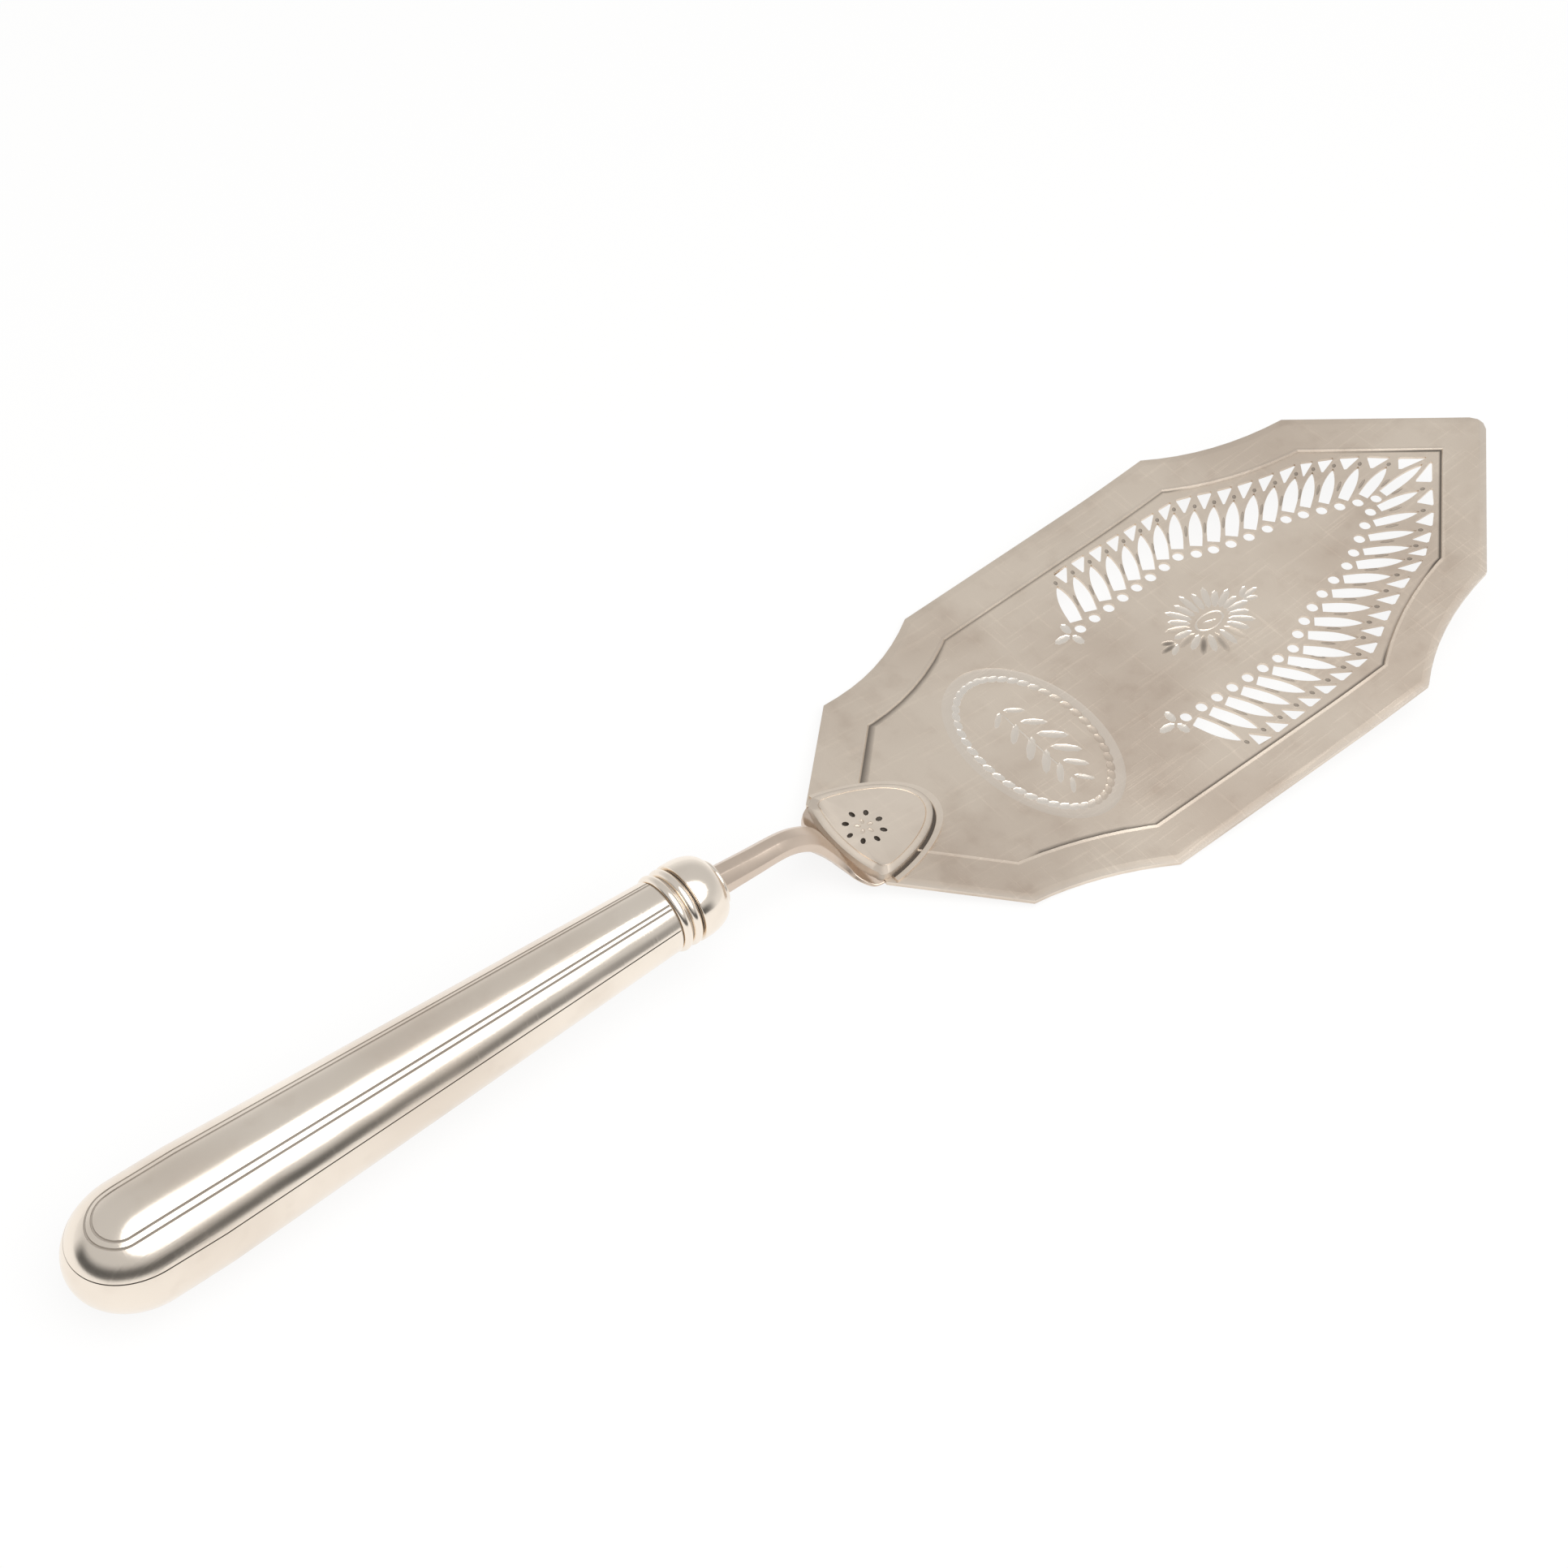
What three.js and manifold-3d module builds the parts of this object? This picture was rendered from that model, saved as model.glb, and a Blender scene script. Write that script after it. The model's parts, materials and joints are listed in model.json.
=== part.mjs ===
// Silver fish slice: a pierced, bowed blade on a cranked shank, with a filled tubular handle.
// Millimetres. X runs along the slice towards its tip, Y across it and Z up. It lies as it is put down:
// on the butt of the handle and on the belly of the blade.
import * as THREE from 'three';
import { mergeVertices } from 'three/addons/utils/BufferGeometryUtils.js';
import { TessellateModifier } from 'three/addons/modifiers/TessellateModifier.js';
import Module from 'manifold-3d';

// Gap left at each soldered or seated joint
const SEAT_GAP = 0.3;

// Blade sheet and its outline, heel to tip: x of each corner and the half width there
const BLADE_THICKNESS = 1.0;
const HEEL_X = -18.8;
const HEEL_HALF_WIDTH = 10.8;
const SHOULDER_X = 0;
const SHOULDER_HALF_WIDTH = 28.2;
const SIDE_START_X = 27.5;
const SIDE_START_HALF_WIDTH = 36.8;
const SIDE_END_X = 91.2;
const SIDE_END_HALF_WIDTH = 37.9;
const POINT_START_X = 119.8;
const POINT_START_HALF_WIDTH = 26.9;
const TIP_X = 150.4;
const TIP_HALF_WIDTH = 2.9;

// Pull of the two hollow curves: how far along each one, and how far in from its chord
const SHOULDER_CURVE_ALONG = 15.1;
const SHOULDER_CURVE_HOLLOW = 3.8;
const POINT_CURVE_ALONG = 11.8;
const POINT_CURVE_HOLLOW = 4.3;

// Lengthwise bow: a flat belly, the heel bent up behind it and the nose bent up a little before it
const BELLY_REAR_X = 30;
const BELLY_FRONT_X = 70;
const HEEL_BEND = 23;
const HEEL_SLOPE = 0.195;
const NOSE_BEND = 14;
const NOSE_SLOPE = 0.062;

// Pierced band: cells along a rail on each side, and one on the axis at the tip
const SIDE_CELLS = 8;
const CURVE_CELLS = 6;
const POINT_CELLS = 4;
const RAIL_START = new THREE.Vector2(51.8, 14.0);
const RAIL_SIDE_END = new THREE.Vector2(79.1, 15.2);
const RAIL_CURVE_START = new THREE.Vector2(82.3, 13.4);
const RAIL_CURVE_PULL = new THREE.Vector2(90, 9.6);
const RAIL_CURVE_END = new THREE.Vector2(101.5, 8.0);
const RAIL_POINT_START = new THREE.Vector2(104.9, 6.6);
const RAIL_TIP_X = 118.4;
const LEAN_START = 69.5;
const LEAN_SIDE_END = 49;
const LEAN_CURVE_END = 34.5;
const EYE_DIAMETER = 2.2;
const BAND_MARGIN = 3;

// Lancets: those of the point are narrower and the one on the axis is longer. Their blunt end, belly and
// neck lie at shares of the length and have shares of the width
const LANCET_START = 1.85;
const LANCET_LENGTH = 9.4;
const AXIS_LANCET_LENGTH = 11.4;
const LANCET_WIDTH = 2.7;
const POINT_LANCET_WIDTH = 2.3;
const LANCET_FLANK = [[0, 0.78], [0.3, 1], [0.66, 0.72]];

// Spandrels: each has its apex between two lancets and its base on an outer rail
const SPANDREL_START = 10.5;
const SPANDREL_END = 14.3;
const AXIS_SPANDREL_END = 16;
const SPANDREL_BASE_SHARE = 0.64;

// Shield plate soldered over the heel, and the pulls of its two long curves
const SHIELD_THICKNESS = 1.5;
const SHIELD_LENGTH = 18.5;
const SHIELD_HALF_WIDTH = 10.4;
const SHIELD_OVERHANG = 2.3;
const SHIELD_CORNER = 1.6;
const SHIELD_FLANK_PULL = 6.5;
const SHIELD_FLANK_TAPER = 0.6;
const SHIELD_APEX_PULL = 6.2;

// Cranked shank: from the ferrule it runs forward, drops behind the shield and spreads into a palm
const SHANK_REACH = 29.6;
const SHANK_RISE = 14.5;
const SHANK_ROOT_WIDTH = 4.8;
const SHANK_ROOT_DEPTH = 6.0;
const SHANK_WAIST_WIDTH = 4.4;
const SHANK_WAIST_DEPTH = 4.2;
const PALM_THICKNESS = 1.2;
const CHAMFER_SHARE = 0.55;
const CRANK_BACK = 1.3;
const TANG_WIDTH = 3.4;
const TANG_TIP_WIDTH = 1.8;
const TANG_LENGTH = 58;
const TANG_ROOT = 1;

// Stations of the crank between the root and the drop, as shares: the run so far, the rise that is left,
// how far the bar has spread into the palm and how far its stem has thinned to the waist
const CRANK = [
  { run: 0, rise: 1, spread: 0, stem: 0 },
  { run: 0.3, rise: 0.93, spread: 0, stem: 0.6 },
  { run: 0.6, rise: 0.85, spread: 0, stem: 1 },
  { run: 0.79, rise: 0.65, spread: 0.05, stem: 1 },
  { run: 0.9, rise: 0.39, spread: 0.2, stem: 1 },
  { run: 0.965, rise: 0.19, spread: 0.44, stem: 1 },
  { run: 1, rise: 0.07, spread: 0.68, stem: 1 },
];
const PALM_SPREAD = 0.9;
const PALM_DIP = -0.02;

// Handle, measured back from the ferrule's front face along its own axis
const HANDLE_TILT = THREE.MathUtils.degToRad(3.35);
const CAP_FRONT_RADIUS = 4.7;
const CAP_RADIUS = 7.0;
const CAP_LENGTH = 6.2;
const CAP_RIM = 1.55;
const SLEEVE_RADIUS = 5.4;
const SLEEVE_LENGTH = 7.6;
const RING_WIDTH = 1.75;
const RING_RADIUS = 6.95;
const COLLAR_RADIUS = 4.4;
const COLLAR_WIDTH = 0.9;
const HANDLE_FRONT_RADIUS = 6.45;
const HANDLE_REAR_RADIUS = 9.95;
const HANDLE_TAPER = 85.5;
const HANDLE_PARALLEL = 9.5;
const BUTT_LENGTH = 11.9;
const WALL = 0.6;

// Height of the seam above the handle's axis, at the front of the handle and where the butt starts
const SEAM_FRONT_RISE = 2.7;
const SEAM_REAR_RISE = 4.2;

// Fineness of the round and bent forms
const ROUND_STEPS = 36;
const ARC_STEPS = 8;
const EYE_STEPS = 6;
const CURVE_STEPS = 8;
const SHANK_STEPS = 36;
const BLADE_EDGE = 24;
const TESSELLATE_ROUNDS = 12;
const WELD_DISTANCE = 1e-4;
const REST_ROUNDS = 60;

const wasm = await Module();
wasm.setup();

const silver = (color, roughness) => new THREE.MeshStandardMaterial({ color, roughness, metalness: 1 });
const BLADE_SILVER = silver(0xc4b8a8, 0.38);
const SHIELD_SILVER = silver(0xd8c8b4, 0.34);
const HANDLE_SILVER = silver(0xe2ddd4, 0.18);
const PITCH = new THREE.MeshStandardMaterial({ color: 0x2a211b, roughness: 0.7, metalness: 0 });

// Keep only positions, join the vertices that coincide and drop the triangles that this empties
function weld(geometry) {
  const bare = geometry.clone();
  for (const name of Object.keys(bare.attributes)) {
    if (name !== 'position') {
      bare.deleteAttribute(name);
    }
  }
  const welded = mergeVertices(bare, WELD_DISTANCE);
  const corners = welded.index.array;
  const kept = [];
  for (let i = 0; i < corners.length; i += 3) {
    const [a, b, c] = corners.slice(i, i + 3);
    if (a !== b && b !== c && c !== a) {
      kept.push(a, b, c);
    }
  }
  welded.setIndex(kept);
  return welded;
}

function toSolid(geometry) {
  const welded = weld(geometry);
  return new wasm.Manifold(new wasm.Mesh({
    numProp: 3,
    vertProperties: new Float32Array(welded.attributes.position.array),
    triVerts: new Uint32Array(welded.index.array),
  }));
}

function fromSolid(solid) {
  const mesh = solid.getMesh();
  const geometry = new THREE.BufferGeometry();
  geometry.setAttribute('position', new THREE.BufferAttribute(new Float32Array(mesh.vertProperties), 3));
  geometry.setIndex(new THREE.BufferAttribute(new Uint32Array(mesh.triVerts), 1));
  return geometry;
}

function piece(name, geometry, material) {
  const mesh = new THREE.Mesh(geometry, material);
  mesh.name = name;
  return mesh;
}

// Height that a sheet gains past the start of a bend: a parabola, then a straight run
function rise(past, bend, slope) {
  if (past <= 0) {
    return 0;
  }
  if (past < bend) {
    return slope * past * past / (2 * bend);
  }
  return slope * (past - bend / 2);
}

// Height of the blade's underside at x, with the belly at zero
function bow(x) {
  return rise(BELLY_REAR_X - x, HEEL_BEND, HEEL_SLOPE) + rise(x - BELLY_FRONT_X, NOSE_BEND, NOSE_SLOPE);
}

// Lift a flat sheet onto the bow
function bend(geometry, base) {
  const place = geometry.attributes.position;
  for (let i = 0; i < place.count; i += 1) {
    place.setZ(i, place.getZ(i) + base + bow(place.getX(i)));
  }
  return geometry;
}

// Pull point of a hollow curve that runs between two corners of the outline
function hollow(start, end, along, depth) {
  const share = along / (end.x - start.x);
  const chord = start.clone().lerp(end, share);
  return new THREE.Vector2(chord.x, chord.y - depth);
}

// Cells of the pierced band on the +Y side, each with its eye, its lean and the width, length and outer end
// of its openings, and the one on the axis last
function bandCells() {
  const cells = [];
  const add = (eye, lean, width) => {
    const length = LANCET_LENGTH;
    cells.push({ eye, lean: THREE.MathUtils.degToRad(lean), width, length, end: SPANDREL_END });
  };
  for (let i = 0; i < SIDE_CELLS; i += 1) {
    const share = i / (SIDE_CELLS - 1);
    const lean = THREE.MathUtils.lerp(LEAN_START, LEAN_SIDE_END, share);
    add(RAIL_START.clone().lerp(RAIL_SIDE_END, share), lean, LANCET_WIDTH);
  }
  const curve = new THREE.QuadraticBezierCurve(RAIL_CURVE_START, RAIL_CURVE_PULL, RAIL_CURVE_END);
  for (let i = 0; i < CURVE_CELLS; i += 1) {
    const lean = THREE.MathUtils.lerp(LEAN_SIDE_END, LEAN_CURVE_END, (i + 1) / CURVE_CELLS);
    add(curve.getPoint(i / (CURVE_CELLS - 1)), lean, LANCET_WIDTH);
  }
  const tip = new THREE.Vector2(RAIL_TIP_X, 0);
  for (let i = 0; i <= POINT_CELLS; i += 1) {
    const lean = LEAN_CURVE_END * Math.cos(Math.PI / 2 * i / POINT_CELLS);
    add(RAIL_POINT_START.clone().lerp(tip, i / POINT_CELLS), lean, POINT_LANCET_WIDTH);
  }
  Object.assign(cells[cells.length - 1], { lean: 0, length: AXIS_LANCET_LENGTH, end: AXIS_SPANDREL_END });
  return cells;
}

// A point out along a cell's lean and aside from it
function onCell(cell, out, aside) {
  const along = new THREE.Vector2(Math.cos(cell.lean), Math.sin(cell.lean));
  const across = new THREE.Vector2(-along.y, along.x);
  return cell.eye.clone().addScaledVector(along, out).addScaledVector(across, aside);
}

// A closed path through points, on the side of the blade given by the sign
function sidePath(points, side) {
  return new THREE.Path(points.map((point) => new THREE.Vector2(point.x, point.y * side)));
}

function eyeOutline(cell) {
  const points = [];
  for (let i = 0; i < EYE_STEPS; i += 1) {
    const turn = 2 * Math.PI * i / EYE_STEPS;
    points.push(onCell(cell, EYE_DIAMETER / 2 * Math.cos(turn), EYE_DIAMETER / 2 * Math.sin(turn)));
  }
  return points;
}

// A lancet is blunt at the eye, widest near it and pointed at its far end
function lancetOutline(cell) {
  const flank = (side) => LANCET_FLANK.map(([along, width]) => (
    onCell(cell, LANCET_START + along * cell.length, side * width * cell.width / 2)
  ));
  return [...flank(-1), onCell(cell, LANCET_START + cell.length, 0), ...flank(1).reverse()];
}

// A spandrel is a triangle between two cells, with its base on the outer rail
function spandrelOutline(cell, next) {
  const between = { eye: cell.eye.clone().lerp(next.eye, 0.5), lean: (cell.lean + next.lean) / 2 };
  const outer = onCell(cell, cell.end, 0);
  const nextOuter = onCell(next, next.end, 0);
  const margin = (1 - SPANDREL_BASE_SHARE) / 2;
  return [
    onCell(between, SPANDREL_START, 0),
    nextOuter.clone().lerp(outer, margin),
    outer.clone().lerp(nextOuter, margin),
  ];
}

// Corners and curves of the blade's +Y edge, heel to tip
const HEEL = new THREE.Vector2(HEEL_X, HEEL_HALF_WIDTH);
const SHOULDER = new THREE.Vector2(SHOULDER_X, SHOULDER_HALF_WIDTH);
const SIDE_START = new THREE.Vector2(SIDE_START_X, SIDE_START_HALF_WIDTH);
const SIDE_END = new THREE.Vector2(SIDE_END_X, SIDE_END_HALF_WIDTH);
const POINT_START = new THREE.Vector2(POINT_START_X, POINT_START_HALF_WIDTH);
const SHOULDER_PULL = hollow(SHOULDER, SIDE_START, SHOULDER_CURVE_ALONG, SHOULDER_CURVE_HOLLOW);
const POINT_PULL = hollow(SIDE_END, POINT_START, POINT_CURVE_ALONG, POINT_CURVE_HOLLOW);

// Point of the straight side at x
function sidePoint(x) {
  return SIDE_START.clone().lerp(SIDE_END, (x - SIDE_START_X) / (SIDE_END_X - SIDE_START_X));
}

// Plain rear sheet, from the heel to the join with the pierced sheet, in cross strips that take the bend
function rearSheet(joinX) {
  const curve = new THREE.QuadraticBezierCurve(SHOULDER, SHOULDER_PULL, SIDE_START);
  const stations = [HEEL, ...curve.getPoints(CURVE_STEPS), sidePoint(BELLY_REAR_X), sidePoint(joinX)];
  stations.sort((p, q) => p.x - q.x);
  const last = stations.length - 1;
  const sheet = weld(new THREE.BoxGeometry(1, 2, BLADE_THICKNESS, last, 1, 1));
  const place = sheet.attributes.position;
  for (let i = 0; i < place.count; i += 1) {
    const station = stations[Math.round((place.getX(i) + 0.5) * last)];
    place.setXYZ(i, station.x, place.getY(i) * station.y, place.getZ(i) + BLADE_THICKNESS / 2);
  }
  return bend(sheet, 0);
}

// Outline of the pierced sheet, from the join to the tip, with the band's openings
function piercedShape(joinX) {
  const slant = (TIP_X - POINT_START_X) / POINT_START_HALF_WIDTH;
  const tipStart = new THREE.Vector2(TIP_X - TIP_HALF_WIDTH * slant, TIP_HALF_WIDTH);
  const join = sidePoint(joinX);
  const shape = new THREE.Shape();
  shape.moveTo(join.x, -join.y);
  shape.lineTo(SIDE_END.x, -SIDE_END.y);
  shape.quadraticCurveTo(POINT_PULL.x, -POINT_PULL.y, POINT_START.x, -POINT_START.y);
  shape.lineTo(tipStart.x, -tipStart.y);
  shape.quadraticCurveTo(TIP_X, 0, tipStart.x, tipStart.y);
  shape.lineTo(POINT_START.x, POINT_START.y);
  shape.quadraticCurveTo(POINT_PULL.x, POINT_PULL.y, SIDE_END.x, SIDE_END.y);
  shape.lineTo(join.x, join.y);
  shape.closePath();
  const cells = bandCells();
  const axisCell = cells[cells.length - 1];
  for (const side of [1, -1]) {
    for (const cell of cells) {
      if (cell === axisCell && side < 0) {
        continue;
      }
      shape.holes.push(sidePath(eyeOutline(cell), side));
      shape.holes.push(sidePath(lancetOutline(cell), side));
    }
    for (let i = 0; i < cells.length - 1; i += 1) {
      shape.holes.push(sidePath(spandrelOutline(cells[i], cells[i + 1]), side));
    }
  }
  return shape;
}

function makeBlade() {
  const joinX = RAIL_START.x - EYE_DIAMETER / 2 - BAND_MARGIN;
  const sheet = new THREE.ExtrudeGeometry(piercedShape(joinX), {
    depth: BLADE_THICKNESS, bevelEnabled: false, curveSegments: CURVE_STEPS,
  });
  const fine = new TessellateModifier(BLADE_EDGE, TESSELLATE_ROUNDS).modify(weld(sheet));
  const pierced = toSolid(bend(weld(fine), 0));
  return piece('blade', fromSolid(pierced.add(toSolid(rearSheet(joinX)))), BLADE_SILVER);
}

// Rounded triangle with its base over the heel's rear edge and its apex towards the tip
function makeShield() {
  const rear = HEEL_X - SHIELD_OVERHANG;
  const half = SHIELD_HALF_WIDTH;
  const apex = HEEL_X + SHIELD_LENGTH;
  const flank = HEEL_X + SHIELD_CORNER;
  const pullX = HEEL_X + SHIELD_FLANK_PULL;
  const pullY = half - SHIELD_FLANK_TAPER;
  const cornerX = HEEL_X - SHIELD_CORNER / 2;
  const shape = new THREE.Shape();
  shape.moveTo(flank, -half);
  shape.bezierCurveTo(pullX, -pullY, apex, -SHIELD_APEX_PULL, apex, 0);
  shape.bezierCurveTo(apex, SHIELD_APEX_PULL, pullX, pullY, flank, half);
  shape.quadraticCurveTo(cornerX, half, cornerX, half - SHIELD_CORNER);
  shape.quadraticCurveTo(rear, half / 2, rear, 0);
  shape.quadraticCurveTo(rear, -half / 2, cornerX, SHIELD_CORNER - half);
  shape.quadraticCurveTo(cornerX, -half, flank, -half);
  const plate = new THREE.ExtrudeGeometry(shape, {
    depth: SHIELD_THICKNESS, bevelEnabled: false, curveSegments: CURVE_STEPS,
  });
  return piece('heel_shield', bend(weld(plate), BLADE_THICKNESS + SEAT_GAP), SHIELD_SILVER);
}

// The ferrule's front face, where the shank's shoulder seats, in the blade's axes
const FERRULE_X = HEEL_X - SHANK_REACH;
const PALM_Z = bow(HEEL_X) + BLADE_THICKNESS - PALM_THICKNESS / 2;
const FERRULE_Z = PALM_Z + SHANK_RISE;

// Eight-sided loft along the crank: square in section at the root, thin and wide at the palm
function makeShank() {
  const cos = Math.cos(HANDLE_TILT);
  const sin = Math.sin(HANDLE_TILT);
  const rootX = FERRULE_X + SEAT_GAP * cos;
  const rootZ = FERRULE_Z - SEAT_GAP * sin;
  const dropX = HEEL_X - SHIELD_OVERHANG - CRANK_BACK;
  const palmX = HEEL_X - SEAT_GAP;
  const level = (share) => THREE.MathUtils.lerp(PALM_Z, rootZ, share);
  const stations = CRANK.map(({ run, rise: left, spread, stem }) => ({
    x: THREE.MathUtils.lerp(rootX, dropX, run), z: level(left), spread, stem,
  }));
  stations.push({ x: (dropX + palmX) / 2, z: level(PALM_DIP), spread: PALM_SPREAD, stem: 1 });
  stations.push({ x: palmX, z: PALM_Z - HEEL_SLOPE * SEAT_GAP, spread: 1, stem: 1 });
  const path = new THREE.CatmullRomCurve3(stations.map((s) => new THREE.Vector3(s.x, 0, s.z)));
  const sizes = new THREE.CatmullRomCurve3(stations.map((s) => {
    const stemWidth = THREE.MathUtils.lerp(SHANK_ROOT_WIDTH, SHANK_WAIST_WIDTH, s.stem) / 2;
    const stemDepth = THREE.MathUtils.lerp(SHANK_ROOT_DEPTH, SHANK_WAIST_DEPTH, s.stem) / 2;
    return new THREE.Vector3(
      THREE.MathUtils.lerp(stemWidth, HEEL_HALF_WIDTH - SEAT_GAP, s.spread),
      THREE.MathUtils.lerp(stemDepth, PALM_THICKNESS / 2, Math.sqrt(s.spread)),
      0,
    );
  }));
  const bar = weld(new THREE.CylinderGeometry(1, 1, 1, 8, SHANK_STEPS, false, Math.PI / 8));
  const place = bar.attributes.position;
  for (let i = 0; i < place.count; i += 1) {
    const t = place.getY(i) + 0.5;
    const centre = path.getPoint(t);
    const tangent = path.getTangent(t);
    const size = sizes.getPoint(t);
    const chamfer = CHAMFER_SHARE * Math.min(size.x, size.y);
    const across = -place.getX(i);
    const up = place.getZ(i);
    const broad = Math.abs(across) > Math.abs(up);
    const width = Math.sign(Math.round(across * 100)) * (broad ? size.x : size.x - chamfer);
    const depth = Math.sign(Math.round(up * 100)) * (broad ? size.y - chamfer : size.y);
    place.setXYZ(i, centre.x - tangent.z * depth, width, centre.z + tangent.x * depth);
  }
  const tangRun = TANG_LENGTH + TANG_ROOT;
  const tang = new THREE.CylinderGeometry(
    TANG_TIP_WIDTH * Math.SQRT1_2, TANG_WIDTH * Math.SQRT1_2, tangRun, 4, 1, false, Math.PI / 4,
  );
  tang.rotateZ(Math.PI / 2);
  tang.translate(TANG_ROOT - tangRun / 2, 0, 0);
  tang.rotateY(HANDLE_TILT);
  tang.translate(rootX, 0, rootZ);
  return piece('shank', fromSolid(toSolid(bar).add(toSolid(tang))), HANDLE_SILVER);
}

// Turn a profile of [radius, distance back from the ferrule's face] about the handle's axis
function turn(points) {
  const profile = points.map(([radius, back]) => new THREE.Vector2(radius, back));
  const geometry = new THREE.LatheGeometry(profile, ROUND_STEPS);
  geometry.rotateZ(Math.PI / 2);
  return weld(geometry);
}

const TANG_BORE = TANG_WIDTH * Math.SQRT1_2 + SEAT_GAP;
const RINGS_START = CAP_LENGTH + SEAT_GAP;
const HANDLE_START = RINGS_START + 2 * (RING_WIDTH + SEAT_GAP);
const SLEEVE_END = CAP_LENGTH + SLEEVE_LENGTH;
const BUTT_START = HANDLE_START + HANDLE_TAPER + HANDLE_PARALLEL;
const BUTT_END = BUTT_START + BUTT_LENGTH;

// Outer line of the handle from its front to the tip of the butt, drawn in by an inset
function handleLine(inset) {
  const points = [
    [HANDLE_FRONT_RADIUS - inset, HANDLE_START],
    [HANDLE_REAR_RADIUS - inset, HANDLE_START + HANDLE_TAPER],
  ];
  for (let i = 0; i <= ARC_STEPS; i += 1) {
    const angle = Math.PI / 2 * i / ARC_STEPS;
    const radius = (HANDLE_REAR_RADIUS - inset) * Math.cos(angle);
    points.push([i === ARC_STEPS ? 0 : radius, BUTT_START + (BUTT_LENGTH - inset) * Math.sin(angle)]);
  }
  return points;
}

function makeCap() {
  const dome = [];
  for (let i = 0; i <= ARC_STEPS; i += 1) {
    const angle = Math.PI / 2 * i / ARC_STEPS;
    const radius = CAP_FRONT_RADIUS + (CAP_RADIUS - CAP_FRONT_RADIUS) * Math.sin(angle);
    dome.push([radius, (CAP_LENGTH - CAP_RIM) * (1 - Math.cos(angle))]);
  }
  const profile = [
    [TANG_BORE, 0], ...dome, [CAP_RADIUS, CAP_LENGTH], [SLEEVE_RADIUS, CAP_LENGTH],
    [SLEEVE_RADIUS, SLEEVE_END], [TANG_BORE, SLEEVE_END], [TANG_BORE, 0],
  ];
  return piece('ferrule_cap', turn(profile), HANDLE_SILVER);
}

function makeRing(name, start) {
  const bore = SLEEVE_RADIUS + SEAT_GAP;
  const shoulder = RING_RADIUS - RING_WIDTH / 2;
  const bead = [];
  for (let i = 0; i <= ARC_STEPS; i += 1) {
    const angle = Math.PI * i / ARC_STEPS;
    bead.push([shoulder + RING_WIDTH / 2 * Math.sin(angle), start + RING_WIDTH / 2 * (1 - Math.cos(angle))]);
  }
  const profile = [[bore, start], ...bead, [bore, start + RING_WIDTH], [bore, start]];
  return piece(name, turn(profile), HANDLE_SILVER);
}

function makeCollar() {
  const width = SHANK_ROOT_WIDTH / 2;
  const depth = SHANK_ROOT_DEPTH / 2;
  const chamfer = CHAMFER_SHARE * Math.min(width, depth);
  const bore = Math.max(Math.hypot(width - chamfer, depth), Math.hypot(width, depth - chamfer)) + SEAT_GAP;
  const front = -SEAT_GAP - COLLAR_WIDTH;
  const profile = [
    [bore, front], [COLLAR_RADIUS - COLLAR_WIDTH / 2, front], [COLLAR_RADIUS, front + COLLAR_WIDTH / 2],
    [COLLAR_RADIUS, -SEAT_GAP], [bore, -SEAT_GAP], [bore, front],
  ];
  return piece('shank_collar', turn(profile), HANDLE_SILVER);
}

function makeFilling() {
  const front = SLEEVE_END + SEAT_GAP;
  const outer = handleLine(WALL + SEAT_GAP);
  const share = (front - HANDLE_START) / HANDLE_TAPER;
  outer[0] = [THREE.MathUtils.lerp(outer[0][0], outer[1][0], share), front];
  const bottom = TANG_LENGTH + SEAT_GAP;
  const profile = [[0, bottom], [TANG_BORE, bottom], [TANG_BORE, front], ...outer];
  return piece('pitch_filling', turn(profile), PITCH);
}

// The tube is stamped as two shells that meet at a seam above the axis
function makeShells() {
  const tube = toSolid(turn([...handleLine(WALL).reverse(), ...handleLine(0)]));
  const over = 2 * HANDLE_REAR_RADIUS;
  const half = SEAT_GAP / 2;
  const seam = (back) => {
    const share = (back - HANDLE_START) / (BUTT_START - HANDLE_START);
    return THREE.MathUtils.lerp(SEAM_FRONT_RISE, SEAM_REAR_RISE, share);
  };
  const front = HANDLE_START - over;
  const rear = BUTT_END + over;
  const wedge = (offset) => {
    const shape = new THREE.Shape([
      new THREE.Vector2(-front, seam(front) + offset),
      new THREE.Vector2(-front, over),
      new THREE.Vector2(-rear, over),
      new THREE.Vector2(-rear, seam(rear) + offset),
    ]);
    const block = new THREE.ExtrudeGeometry(shape, { depth: 2 * over, bevelEnabled: false });
    block.rotateX(Math.PI / 2);
    block.translate(0, over, 0);
    return toSolid(block);
  };
  return [
    piece('handle_upper_shell', fromSolid(tube.intersect(wedge(half))), HANDLE_SILVER),
    piece('handle_lower_shell', fromSolid(tube.subtract(wedge(-half))), HANDLE_SILVER),
  ];
}

// Slope at which the slice lies: a line that touches both the round of the butt and the heel bend
function restSlope() {
  const buttX = FERRULE_X - BUTT_START * Math.cos(HANDLE_TILT);
  const buttZ = FERRULE_Z + BUTT_START * Math.sin(HANDLE_TILT);
  let slope = 0;
  for (let i = 0; i < REST_ROUNDS; i += 1) {
    const lift = HANDLE_REAR_RADIUS * Math.hypot(1, slope) - slope * slope * HEEL_BEND / (2 * HEEL_SLOPE);
    slope = (buttZ - lift) / (BELLY_REAR_X - buttX);
  }
  return slope;
}

const handle = new THREE.Group();
handle.position.set(FERRULE_X, 0, FERRULE_Z);
handle.rotation.y = HANDLE_TILT;
handle.add(makeCap());
handle.add(makeCollar());
handle.add(makeRing('reeded_ring_front', RINGS_START));
handle.add(makeRing('reeded_ring_rear', RINGS_START + RING_WIDTH + SEAT_GAP));
handle.add(makeFilling());
handle.add(...makeShells());

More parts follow.
